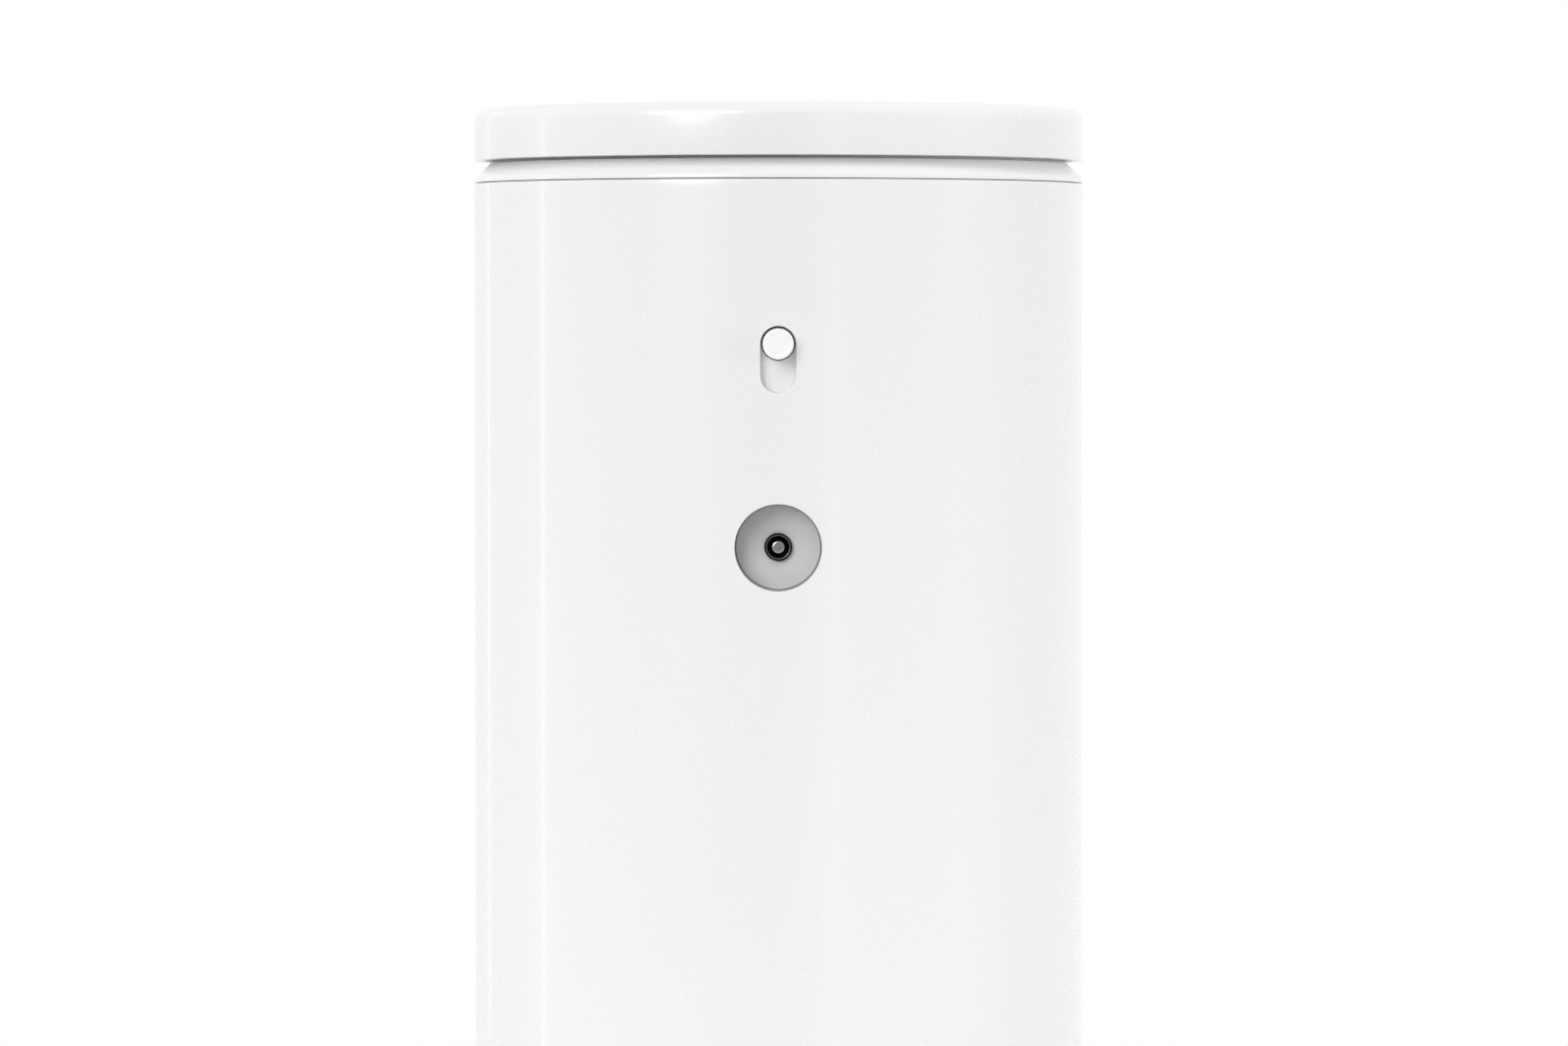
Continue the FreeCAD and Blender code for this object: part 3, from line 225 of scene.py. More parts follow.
LACQUER = {"Coat_Weight": 0.35, "Coat_Roughness": 0.06}
DULL = {"Specular_IOR_Level": 0.12}
MATERIALS = {
    "gloss_white": moulded("gloss_white", (0.86, 0.86, 0.86), 0.27, 0.5, 0.0004, 0.003, **LACQUER),
    "knob_white": moulded("knob_white", (0.95, 0.95, 0.95), 0.3, 0.5, 0.0004, 0.003, **LACQUER),
    # painted shade: the recess cup is a mid grey, darker than the white shell, so that the recess reads darker
    "cup_grey": moulded("cup_grey", (0.6, 0.6, 0.6), 0.42, 0.35, 0.02),
    "satin_white": moulded("satin_white", (0.76, 0.76, 0.75), 0.48, 0.35, 0.03),
    "grey_plastic": moulded("grey_plastic", (0.4, 0.41, 0.42), 0.55, 0.3, 0.04),
    "black_plastic": moulded("black_plastic", (0.009, 0.009, 0.01), 0.4, 0.3, 0.02, 0.2, **DULL),
    "rubber": moulded("rubber", (0.035, 0.035, 0.036), 0.72, 0.5, 0.05, 0.2, Sheen_Weight=0.15),
    "silicone": moulded("silicone", (0.78, 0.78, 0.78), 0.6, 0.4, 0.02),
    "cable_jacket": moulded("cable_jacket", (0.03, 0.03, 0.032), 0.5, 0.6, 0.02, 0.15),
    "steel": metal("steel", (0.6, 0.6, 0.61), 0.26, (1, 1, 6)),
    "ferrite": moulded("ferrite", (0.035, 0.035, 0.038), 0.62, 0.2, 0.04, 0.25),
    "copper": metal("copper", (0.78, 0.32, 0.14), 0.22, (6, 6, 1), 0.5),
    "circuit_board": laminate("circuit_board"),
    "aluminium_can": metal("aluminium_can", (0.78, 0.79, 0.8), 0.3, (5, 1, 5)),
    "pleated_media": felted("pleated_media", (0.82, 0.83, 0.82), 0.93, 0.18, 0.09),
    "carbon_media": cellular("carbon_media", (0.045, 0.045, 0.047), 1.4, 0.6),
    "screen_mesh": moulded("screen_mesh", (0.05, 0.05, 0.055), 0.5, 0.2, 0.01, 0.15),
}


def dress_frame():
    """Each CAD node takes the material of its slot in the record."""
    for part in frame["record"]["subparts"]:
        mesh = nodes[part["node"]].data
        mesh.materials.clear()
        mesh.materials.append(MATERIALS[part["material_slot"]])


# ---------------------------------------------------------------- mesh helpers
def finished(name, bm, slot, body, *replaced, merge=2e-6):
    """A piece from the bmesh, smooth but for its sharp edges, riding on the body.

    Points closer together than merge are joined.
    """
    bmesh.ops.remove_doubles(bm, verts=bm.verts, dist=merge)
    bmesh.ops.recalc_face_normals(bm, faces=bm.faces)
    for face in bm.faces:
        face.smooth = True
    for edge in bm.edges:
        edge.smooth = edge.calc_face_angle(0) < SHARP
    mesh = bpy.data.meshes.new(name)
    bm.to_mesh(mesh)
    bm.free()
    mesh.materials.append(MATERIALS[slot])
    piece = bpy.data.objects.new(name, mesh)
    bpy.context.scene.collection.objects.link(piece)
    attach(piece, body)
    if replaced:
        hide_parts(*replaced)
    return piece


def soften(corners, steps=5):
    """The closed outline with each corner (radius, height, rounding) replaced by an arc."""
    points = []
    for i, (radius, height, rounding) in enumerate(corners):
        here = Vector((radius, height))
        if rounding == 0:
            points.append(here)
            continue
        before = (Vector(corners[i - 1][:2]) - here).normalized()
        after = (Vector(corners[(i + 1) % len(corners)][:2]) - here).normalized()
        half = before.angle(after) / 2
        centre = here + (before + after).normalized() * rounding / math.sin(half)
        start = here + before * rounding / math.tan(half) - centre
        end = here + after * rounding / math.tan(half) - centre
        first = math.atan2(start.y, start.x)
        sweep = (math.atan2(end.y, end.x) - first + math.pi) % (2 * math.pi) - math.pi
        for step in range(steps + 1):
            angle = first + sweep * step / steps
            points.append(centre + rounding * Vector((math.cos(angle), math.sin(angle))))
    return points


def turn(bm, outline, segments=192, matrix=Matrix()):
    """Adds the closed (radius, height) outline, turned about the Z axis and then moved by matrix."""
    rings = []
    for i in range(segments):
        angle = 2 * math.pi * i / segments
        across = Vector((math.cos(angle), math.sin(angle), 0))
        rings.append([bm.verts.new(matrix @ (across * r + Vector((0, 0, z)))) for r, z in outline])
    count = len(outline)
    for ring, after in zip(rings, rings[1:] + rings[:1]):
        for i in range(count):
            j = (i + 1) % count
            if outline[i][0] < TINY and outline[j][0] < TINY:
                continue
            bm.faces.new((ring[i], after[i], after[j], ring[j]))


def add_block(bm, low, high, rounding, matrix=Matrix()):
    """A block between two corners, with rounded edges, moved by matrix."""
    verts = bmesh.ops.create_cube(bm, size=1)["verts"]
    bmesh.ops.scale(bm, verts=verts, vec=Vector(high) - Vector(low))
    bmesh.ops.translate(bm, verts=verts, vec=(Vector(high) + Vector(low)) / 2)
    edges = {edge for vert in verts for edge in vert.link_edges}
    soft = bmesh.ops.bevel(bm, geom=list(edges), offset=rounding, segments=2, affect="EDGES")
    bmesh.ops.transform(bm, matrix=matrix, verts=soft["verts"])


def solids(node):
    """The lowest and highest corners of each separate solid of a CAD node."""
    bm = bmesh.new()
    bm.from_mesh(nodes[node].data)
    bmesh.ops.remove_doubles(bm, verts=bm.verts, dist=1e-6)
    waiting, boxes = set(bm.verts), []
    while waiting:
        reached, frontier = [], [waiting.pop()]
        while frontier:
            vert = frontier.pop()
            reached.append(vert.co)
            touching = {edge.other_vert(vert) for edge in vert.link_edges} & waiting
            waiting -= touching
            frontier.extend(touching)
        boxes.append([Vector(pick(co[axis] for co in reached) for axis in range(3)) for pick in (min, max)])
    bm.free()
    return sorted(boxes, key=lambda box: [round(value, 5) for value in box[0]])


def half_width(node):
    """Half the node's width, which is the radius of a round one."""
    low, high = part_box(node)
    return (high.x - low.x) / 2


def mid_level(node):
    """The height of the node's middle."""
    low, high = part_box(node)
    return (low.z + high.z) / 2


def back_axis(node):
    """Moves a turned outline's axis onto the node's own, which points out of the back."""
    return Matrix.Translation((0, 0, mid_level(node))) @ BACKWARD


def tube_corners(inner, outer, low, high, rounding):
    """The section of a plain tube, for soften."""
    corners = ((outer, low), (outer, high), (inner, high), (inner, low))
    return [(r, z, rounding) for r, z in corners]


def on_back(radius, offset, level):
    """The point of the tube of that radius, at that distance right of the back's middle line."""
    return Vector((offset, -math.sqrt(radius**2 - offset**2), level))


def pierced_tube(bm, inner, outer, low, high, edge, angles, levels, holes):
    """A tube wall with round-ended holes.

    angles, in radians from the back, and levels are the wall's grid lines. A hole is (angle, half
    angle, low line, high line, radius, low centre, high centre): the patch of the grid that it
    takes up, which starts and ends on grid lines, and its round ends.
    """
    wall = [(outer, z, 0) for z in levels] + [(outer, high, edge), (inner, high, edge)]
    wall += [(inner, z, 0) for z in reversed(levels)] + [(inner, low, edge), (outer, low, edge)]
    outline = soften(wall)
    lines = [Matrix.Rotation(angle, 4, "Z") @ Vector((0, -1, 0)) for angle in angles]

    def in_hole(angle, start, end):
        """Whether the wall's face there, between two points of the outline, belongs to a patch."""
        if abs(start.x - end.x) > TINY:
            return False
        level = (start.y + end.y) / 2
        return any(
            abs(math.remainder(angle - centre, 2 * math.pi)) < half and bottom < level < top
            for centre, half, bottom, top, *_ in holes
        )

    grid = [[bm.verts.new(line * r + Vector((0, 0, z))) for r, z in outline] for line in lines]
    for i, (ring, after) in enumerate(zip(grid, grid[1:] + grid[:1])):
        span = math.remainder(angles[(i + 1) % len(angles)] - angles[i], 2 * math.pi)
        for k in range(len(outline)):
            j = (k + 1) % len(outline)
            if not in_hole(angles[i] + span / 2, outline[k], outline[j]):
                bm.faces.new((ring[k], after[k], after[j], ring[j]))
    for hole in holes:
        fill_patch(bm, inner, outer, edge, angles, levels, hole)


def fill_patch(bm, inner, outer, edge, angles, levels, hole):
    """The wall between a patch's straight border and its hole, on both faces, and the hole's side."""
    centre, half, bottom, top, radius, low_end, high_end = hole
    away = [math.remainder(angle - centre, 2 * math.pi) for angle in angles]
    columns = sorted(angle for angle in away if abs(angle) < half + TINY)
    rows = sorted(z for z in levels if bottom - TINY < z < top + TINY)
    border = [(angle, rows[0]) for angle in columns]
    border += [(columns[-1], z) for z in rows[1:]]
    border += [(angle, rows[-1]) for angle in reversed(columns[:-1])]
    border += [(columns[0], z) for z in reversed(rows[1:-1])]
    turn_to = Matrix.Rotation(centre, 4, "Z")
    loops = []

    def add_loop(tube_radius, points):
        loops.append([bm.verts.new(turn_to @ on_back(tube_radius, x, z)) for x, z in points])

    def between(tube_radius, share, inset):
        """The loop at that share of the way from the border to the hole's rim."""
        points = []
        for angle, z in border:
            here = Vector((tube_radius * math.sin(angle), z))
            root = Vector((0, min(max(z, low_end), high_end)))
            rim = root + (here - root).normalized() * (radius + inset)
            points.append(here.lerp(rim, share))
        return points

    shares = (0, 0.35, 0.65, 0.88)  # of the way to the rim, where the wall's faces have their loops
    bends = [math.radians(angle) for angle in (0, 22.5, 45, 67.5, 90)]  # round the rim's soft edge
    for share in shares:
        add_loop(outer, between(outer, share, edge))
    for bend in bends:
        add_loop(outer - edge * (1 - math.cos(bend)), between(outer, 1, edge * (1 - math.sin(bend))))
    for share in (1, *reversed(shares)):
        add_loop(inner, between(inner, share, 0))
    for loop, after in zip(loops, loops[1:]):
        for i in range(len(loop)):
            j = (i + 1) % len(loop)
            bm.faces.new((loop[i], loop[j], after[j], after[i]))


def stepped(low, high, count):
    """The ends of a range and the steps between them, count steps in all."""
    return [low + (high - low) * i / count for i in range(count + 1)]


def once_round(count):
    """Evenly spaced angles, once round the circle."""
    return stepped(0, 2 * math.pi, count)[:-1]


def ring_section(middle, radius, count):
    """The round section of a ring, whose middle lies at that distance from the axis."""
    return [Vector((middle + radius * math.cos(a), radius * math.sin(a))) for a in once_round(count)]


# ---------------------------------------------------------------- outer column
def make_column():
    """The tall shell, with the holes of the switch track and the inlet recess."""
    low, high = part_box("body_shell")
    outer, rim, edge = high.x, 2 * MM, 0.13 * MM
    patch, margin = 15 * MM, 9 * MM  # finer grid, each way from the well's middle and past the knob's ends
    fine, coarse, below = 24, 200, 8  # steps across a patch, round the rest of the wall and under the well
    clearance = 0.595 * MM  # round the knob
    well_radius, well_level = half_width("inlet_well") - RECESS_WALL, mid_level("inlet_well")
    track_radius, knob_level = half_width("slider_knob") + clearance, mid_level("slider_knob")
    travel = next(joint for joint in frame["joints"] if joint["name"] == "switch_slide")["range_m"][1]
    half = math.asin(patch / outer)
    well_rows = stepped(well_level - patch, well_level + patch, fine)
    track_rows = stepped(knob_level - travel - margin, knob_level + margin, fine)
    around_back = [angle - half for angle in stepped(0, 2 * half, fine)]
    angles = around_back + stepped(half, 2 * math.pi - half, coarse)[1:-1]
    levels = stepped(low.z + rim, well_rows[0], below)[:-1] + well_rows + track_rows + [high.z - rim]
    holes = [
        (0, half, well_rows[0], well_rows[-1], well_radius, well_level, well_level),
        (0, half, track_rows[0], track_rows[-1], track_radius, knob_level - travel, knob_level),
    ]
    bm = bmesh.new()
    pierced_tube(bm, outer - WALL, outer, low.z, high.z, edge, angles, levels, holes)
    finished("column_skin", bm, "gloss_white", "housing", "body_shell")


def make_neck():
    """The chamfered neck ring, its narrow band over the seam and its spigot inside the column."""
    low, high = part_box("shoulder_ring")
    outer, bore, chamfer, seam = high.x, 69 * MM, 4 * MM, 0.25 * MM
    soft, seam_edge, shoulder = 0.3 * MM, 0.05 * MM, 1.4 * MM  # roundings
    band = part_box("body_shell")[1].z + seam
    spigot = outer - WALL - 0.2 * MM
    corners = [
        (bore, low.z, soft),
        (spigot, low.z, soft),
        (spigot, band, 0),
        (outer, band, seam_edge),
        (outer, high.z - chamfer, shoulder),
        (outer - chamfer, high.z, soft),
        (bore, high.z, soft),
    ]
    bm = bmesh.new()
    turn(bm, soften(corners), segments=256)
    finished("neck_ring", bm, "gloss_white", "housing", "shoulder_ring")


def make_lid():
    """The lid's cap, with a soft crown, and a rolled edge round its opening."""
    low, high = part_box("lid_cap")
    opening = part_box("outlet_grille")[1].x + 0.2 * MM
    outer, inner, ceiling = high.x, high.x - WALL, high.z - WALL
    crown, roll, soft, foot = 3.25 * MM, 0.8 * MM, 0.4 * MM, 0.2 * MM  # roundings
    corners = [
        (opening, ceiling, soft),
        (inner, ceiling, roll),
        (inner, low.z, soft),
        (outer, low.z, foot),
        (outer, high.z, crown),
        (opening, high.z, roll),
    ]
    bm = bmesh.new()
    turn(bm, soften(corners, 8), segments=256)
    finished("lid_skin", bm, "gloss_white", "lid", "lid_cap")


def make_grille():
    """Round bars with soft tops, six ribs under them and a domed disc at the centre."""
    low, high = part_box("outlet_grille")
    outer, disc, dome, rim = high.x, 12 * MM, 0.9 * MM, 3.4 * MM
    bars, gap, pitch, bar = 9, 3 * MM, 4.6 * MM, 1.6 * MM
    ribs, rib_height, half_rib, overlap = 6, 2.2 * MM, 0.9 * MM, 1.5 * MM
    bar_edge, edge, rib_edge = 0.55 * MM, 0.5 * MM, 0.35 * MM
    bm = bmesh.new()
    crown = [(0, low.z, 0), (disc, low.z, 0), (disc, high.z - dome, edge), (0, high.z, 0)]
    turn(bm, soften(crown), segments=128)
    for i in range(bars):
        inner = disc + gap + pitch * i
        turn(bm, soften(tube_corners(inner, inner + bar, low.z, high.z, bar_edge), 4))
    turn(bm, soften(tube_corners(outer - rim, outer, low.z, high.z, edge), 4))
    start, end = (disc - overlap, -half_rib, low.z), (outer - overlap, half_rib, low.z + rib_height)
    for i in range(ribs):
        add_block(bm, start, end, rib_edge, Matrix.Rotation(math.radians(360 / ribs * i), 4, "Z"))
    finished("ring_grille", bm, "gloss_white", "lid", "outlet_grille", merge=1e-8)


def make_intake():
    """The slotted band round the foot."""
    low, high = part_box("intake_cover")
    slots, half_slot, outer, edge = 60, 1.5 * MM, high.x, 0.3 * MM
    below, above = 6.75 * MM, 7 * MM  # plain wall under and over the slots
    bottom, top = low.z + 4 * MM, high.z - 4.5 * MM  # ends of the grid that holds them
    columns, rows = 6, 14  # of that grid, to a slot
    step = 2 * math.pi / slots
    angles = stepped(-step / 2, 2 * math.pi - step / 2, slots * columns)[:-1]
    slot_low, slot_high = low.z + below + half_slot, high.z - above - half_slot
    holes = [(step * i, step / 2, bottom, top, half_slot, slot_low, slot_high) for i in range(slots)]
    bm = bmesh.new()
    pierced_tube(bm, outer - WALL, outer, low.z, high.z, edge, angles, stepped(bottom, top, rows), holes)
    finished("intake_band", bm, "gloss_white", "housing", "intake_cover")


def make_screen():
    """The woven dust screen behind the intake band."""
    low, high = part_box("intake_screen")
    inset, cell, wire = 0.3 * MM, 1.5 * MM, 0.34 * MM
    bm = bmesh.new()
    weave(bm, high.x - inset, low.z, high.z, cell)
    screen = finished("dust_screen", bm, "screen_mesh", "housing", "intake_screen")
    wires(screen, wire)


def weave(bm, radius, low, high, pitch):
    """An open cylinder of square cells, whose crossings stand alternately in and out."""
    relief = 0.1 * MM
    columns = 2 * round(math.pi * radius / pitch)
    rows = round((high - low) / pitch)
    levels = stepped(low, high, rows)
    grid = []
    for i in range(columns):
        angle = 2 * math.pi * i / columns
        across = Vector((math.cos(angle), math.sin(angle), 0))
        sides = [radius + (relief if (i + k) % 2 else -relief) for k in range(rows + 1)]
        grid.append([bm.verts.new(across * r + Vector((0, 0, z))) for r, z in zip(sides, levels)])
    for ring, after in zip(grid, grid[1:] + grid[:1]):
        for k in range(rows):
            bm.faces.new((ring[k], after[k], after[k + 1], ring[k + 1]))


def wires(piece, thickness):
    """Turns the piece's edges to square wires."""
    frame_of_wires = piece.modifiers.new("Wires", "WIREFRAME")
    frame_of_wires.thickness = thickness
    frame_of_wires.use_even_offset = False


# ---------------------------------------------------------------- back
SUNK = 0.2 * MM  # how far the knob and its dark ring, a painted shadow, reach into the cover plate


def make_knob():
    """A short turned button with a dished face."""
    radius, face = half_width("slider_knob"), -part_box("slider_knob")[0].y
    seat = -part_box("slider_plate")[0].y - SUNK
    rim, slope, dip, dish, edge = 0.7 * MM, 0.4 * MM, 0.1 * MM, 0.14 * MM, 0.2 * MM
    corners = [
        (0, seat, 0),
        (radius, seat, 0),
        (radius, face, edge),
        (radius - rim, face, edge),
        (radius - rim - slope, face - dip, 0.3 * MM),
        (0, face - dish, 0),
    ]
    bm = bmesh.new()
    turn(bm, soften(corners), 96, back_axis("slider_knob"))
    finished("switch_cap", bm, "knob_white", "slider", "slider_knob")


def make_shadow_ring():
    """The thin black ring round the knob's foot: a painted shadow that darkens the gap round the knob."""
    radius, seat = half_width("slider_knob"), -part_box("slider_plate")[0].y
    inside, overhang, lift, edge = 1.5 * MM, 0.3 * MM, 0.25 * MM, 0.08 * MM
    shadow_ring = tube_corners(radius - inside, radius + overhang, seat - SUNK, seat + lift, edge)
    bm = bmesh.new()
    turn(bm, soften(shadow_ring), 96, back_axis("slider_knob"))
    # painted shadow: a black ring that makes the gap round the knob read as deep shade
    finished("knob_shadow_ring", bm, "rubber", "slider")


def make_cup():
    """The recess cup, with a groove round its floor; its rim follows the shell's inner face."""
    outer, back = half_width("inlet_well"), -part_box("inlet_well")[1].y
    inner = outer - RECESS_WALL
    floor, groove, groove_depth = back + 1.5 * MM, 0.35 * MM, 0.6 * MM
    sleeve = half_width("jack_contact") + 0.39 * MM
    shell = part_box("body_shell")[1].x - WALL - 0.02 * MM
    corners = [
        (sleeve, back, 0),
        (outer, back, 0.5 * MM),
        (outer, shell + MM, 0),
        (inner, shell + MM, 0),
        (inner, floor - groove_depth, 0),
        (inner - groove, floor - groove_depth, 0),
        (inner - groove, floor, 0.1 * MM),
        (sleeve, floor, 0.15 * MM),
    ]
    bm = bmesh.new()
    turn(bm, soften(corners), 96, back_axis("inlet_well"))
    for vert in bm.verts:
        if math.hypot(vert.co.x, vert.co.y) > shell:
            vert.co.y = -math.sqrt(shell**2 - vert.co.x**2)
    # painted shade: the grey cup darkens the recess
    finished("inlet_cup", bm, "cup_grey", "housing", "inlet_well")


def make_pin():
    """The socket's round-nosed pin."""
    low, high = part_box("jack_pin")
    radius, root, tip = half_width("jack_pin"), -high.y, -low.y
    nose = [(0, root, 0), (radius, root, 0), (radius, tip, 0.45 * MM), (0, tip, 0)]
    bm = bmesh.new()
    turn(bm, soften(nose), 64, back_axis("inlet_well"))
    finished("socket_pin", bm, "steel", "housing", "jack_pin")


def make_lining():
    """The thin metal lining of the socket's sleeve."""
    low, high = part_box("jack_contact")
    outer, thickness, edge = half_width("jack_contact"), 0.19 * MM, 0.06 * MM
    lining = tube_corners(outer - thickness, outer, -high.y, -low.y, edge)
    bm = bmesh.new()
    turn(bm, soften(lining), 96, back_axis("inlet_well"))
    finished("socket_lining", bm, "steel", "housing", "jack_contact")


# ---------------------------------------------------------------- filter
PLEAT_INSET = 1.1 * MM  # from the pack's own outside to its folds, which leaves room for the glue


def make_pleats():
    """The pleated pack: deep rounded folds, free between the caps to wander a little."""
    low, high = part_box("filter_pack")
    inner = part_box("carbon_sleeve")[1].x + 0.6 * MM
    outer = high.x - PLEAT_INSET
    folds, rows, blunt = 96, 36, 0.7 * MM
    lean, sway, sag = 0.1, 0.07, 0.5  # of an outer bend: two shares of the pitch, and mm inwards
    waves, circle = 90, 6.28  # radians to the metre of height, and radians once round
    outer_bend = ((-0.13, outer - blunt), (0, outer), (0.13, outer - blunt))
    inner_bend = ((0.37, inner + blunt), (0.5, inner), (0.63, inner + blunt))
    dice = random.Random(7)
    drift = [
        (dice.uniform(-lean, lean), dice.uniform(0, sag) * MM, dice.uniform(0, circle))
        for _ in range(folds)
    ]
    bm = bmesh.new()
    grid = []
    for level in stepped(low.z, high.z, rows):
        ring = []
        free = math.sin(math.pi * (level - low.z) / (high.z - low.z))
        for i, (shift, inset, phase) in enumerate(drift):
            wander = free * (shift + sway * math.sin(phase + waves * (level - low.z)))
            bends = [(i + part + wander, radius - free * inset) for part, radius in outer_bend]
            bends += [(i + part, radius) for part, radius in inner_bend]
            for place, radius in bends:
                angle = 2 * math.pi * place / folds
                ring.append(bm.verts.new((radius * math.cos(angle), radius * math.sin(angle), level)))
        grid.append(ring)
    for ring, above in zip(grid, grid[1:]):
        for i in range(len(ring)):
            j = (i + 1) % len(ring)
            bm.faces.new((ring[i], ring[j], above[j], above[i]))
    pack = finished("pleated_pack", bm, "pleated_media", "cartridge", "filter_pack")
    sheet = pack.modifiers.new("Media", "SOLIDIFY")
    sheet.thickness = 0.45 * MM
    sheet.offset = 0


def make_beads():
    """Rings of glue that hold the folds apart."""
    low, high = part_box("filter_pack")
    bead, proud, gaps = 0.42 * MM, 0.45 * MM, 6
    section = ring_section(high.x - PLEAT_INSET + proud, bead, 10)
    bm = bmesh.new()
    for level in stepped(low.z, high.z, gaps)[1:-1]:
        turn(bm, [point + Vector((0, level)) for point in section])
    finished("glue_beads", bm, "satin_white", "cartridge")


def make_foam():
    """The carbon foam sleeve inside the pleats."""
    low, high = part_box("carbon_sleeve")
    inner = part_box("core_tube")[1].x + 0.2 * MM
    bm = bmesh.new()
    turn(bm, soften(tube_corners(inner, high.x, low.z, high.z, 0.6 * MM)), segments=128)
    finished("carbon_foam", bm, "carbon_media", "cartridge", "carbon_sleeve")


def make_core():
    """The open lattice that the foam is wrapped round."""
    low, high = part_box("core_tube")
    inset, cell, bar = 0.4 * MM, 6 * MM, 0.75 * MM
    bm = bmesh.new()
    weave(bm, high.x - inset, low.z, high.z, cell)
    lattice = finished("core_lattice", bm, "grey_plastic", "cartridge", "core_tube")
    wires(lattice, bar)


def make_seals():
    """Soft lips in place of the plain seal rings."""
    for name, node, body, slot, rounding in (
        ("lid_lip", "lid_seal", "lid", "silicone", 0.2 * MM),
        ("filter_lip", "filter_seal", "cartridge", "rubber", 1.1 * MM),
        ("foot_pad", "foot_ring", "housing", "rubber", 0.7 * MM),
    ):
        low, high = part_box(node)
        inner = min(math.hypot(v.co.x, v.co.y) for v in nodes[node].data.vertices)
        bm = bmesh.new()
        turn(bm, soften(tube_corners(inner, high.x, low.z, high.z, rounding)))
        finished(name, bm, slot, body, node)


# ---------------------------------------------------------------- electrics
def make_lead():
    """The motor's lead, from its grommet in the duct up to the plug on the board."""
    heading = Matrix.Rotation(math.radians(-62), 3, "Z") @ Vector((1, 0, 0))
    route = [
        heading * 0.0518 + Vector((0, 0, 0.101)),
        heading * 0.064 + Vector((0, 0, 0.101)),
        heading * 0.064 + Vector((0, 0, 0.16)),
        Vector((0.0085, -0.062, 0.176)),
        Vector((0.0085, -0.062, 0.185)),
    ]
    curve = bpy.data.curves.new("fan_lead", "CURVE")
    curve.dimensions = "3D"
    spline = curve.splines.new("NURBS")
    spline.points.add(len(route) - 1)
    for point, place in zip(spline.points, route):
        point.co = (*place, 1)
    spline.order_u = 3
    spline.use_endpoint_u = True
    spline.resolution_u = 24
    curve.bevel_depth = 1.5 * MM  # the lead's radius
    curve.bevel_resolution = 6
    curve.materials.append(MATERIALS["cable_jacket"])
    lead = bpy.data.objects.new("fan_lead", curve)
    bpy.context.scene.collection.objects.link(lead)
    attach(lead, "housing")
    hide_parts("fan_cable")
    plug = make_plug()


def make_plug():
    """The lead's connector: a ribbed block with a latch on each flank."""
    low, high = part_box("fan_plug")
    inset = Vector((0.5, 0.6, 0)) * MM
    ribs, first, pitch, rib = 4, 0.9, 2.2, 0.8 * MM
    bm = bmesh.new()
    add_block(bm, low + inset, high - Vector((inset.x, 0, 0)), 0.4 * MM)
    for i in range(ribs):
        x = low.x + (first + pitch * i) * MM
        add_block(bm, (x, low.y, low.z + MM), (x + rib, low.y + MM, high.z - 0.6 * MM), 0.15 * MM)
    ends = 1.5 * MM  # from the block's ends to the latches on its flanks
    for x in (low.x, high.x - MM):
        add_block(bm, (x, low.y + MM, low.z + ends), (x + MM, high.y, high.z - ends), 0.2 * MM)
    return finished("fan_connector", bm, "satin_white", "housing", "fan_plug", merge=1e-8)


def make_cans():
    """The capacitors, with a crimp near the foot and a sunk top inside a rolled rim."""
    crimp, depth, rim, sunk, soft = 1.5 * MM, 0.35 * MM, 0.8 * MM, 0.2 * MM, 0.2 * MM
    bm = bmesh.new()
    for low, high in solids("capacitors"):
        radius, foot, head = (high.x - low.x) / 2, -high.y, -low.y
        corners = [
            (0, foot, 0),
            (radius, foot, 0.15 * MM),
            (radius, foot + crimp - 0.4 * MM, soft),
            (radius - depth, foot + crimp, soft),
            (radius, foot + crimp + 0.4 * MM, soft),
            (radius, head, 0.45 * MM),
            (radius - rim, head, 0.1 * MM),
            (radius - rim - 0.2 * MM, head - sunk, 0.05 * MM),
            (0, head - sunk, 0),
        ]
        turn(bm, soften(corners), 64, Matrix.Translation((low + high) / 2 * Vector((1, 0, 1))) @ BACKWARD)
    finished("cans", bm, "aluminium_can", "housing", "capacitors")


# A leg's three blocks, in mm: from and to, counted outwards from the case's edge, and from and to
# above the board.
LEG = ((-0.2, 0.45, 0.6, 0.75), (0.35, 0.5, 0.02, 0.75), (0.35, 1.0, 0.02, 0.17))


def make_chips():
    """The chips' cases, and the legs along their upper and lower edges."""
    pitch, gap = 1.27 * MM, Vector((0, 0.1, 0)) * MM  # between the legs, and under the case
    cases, legs = bmesh.new(), bmesh.new()
    for low, high in solids("chips"):
        add_block(cases, low, high - gap, 0.12 * MM)
        count = int((high.x - low.x) / pitch)
        first = (low.x + high.x - pitch * (count - 1)) / 2
        for i in range(count):
            x = first + pitch * i
            for edge, way in ((low.z, -1), (high.z, 1)):
                add_leg(legs, x, high.y, edge, way)
    finished("chip_cases", cases, "black_plastic", "housing", "chips", merge=1e-8)
    finished("chip_legs", legs, "steel", "housing", merge=1e-8)


def make_choke():
    """The ring choke: a ferrite core and its winding, which leaves a gap between the wire's ends."""
    low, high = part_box("choke")
    middle, wire = (low + high) / 2, 0.25 * MM
    minor = (high.y - low.y) / 2 - 2 * wire
    major = half_width("choke") - minor - 2 * wire
    half_gap, gaps = 0.2, 33  # radians without wire each way, and the gaps between the turns
    bm = bmesh.new()
    turn(bm, ring_section(major, minor, 24), 96, Matrix.Translation(middle) @ BACKWARD)
    finished("choke_core", bm, "ferrite", "housing", "choke")
    bm = bmesh.new()
    for angle in stepped(half_gap, 2 * math.pi - half_gap, gaps):
        spoke = Matrix.Rotation(angle, 3, "Y") @ Vector((1, 0, 0))
        add_turn_of_wire(bm, middle + spoke * major, spoke, minor + wire, wire)
    finished("choke_winding", bm, "copper", "housing", merge=1e-8)


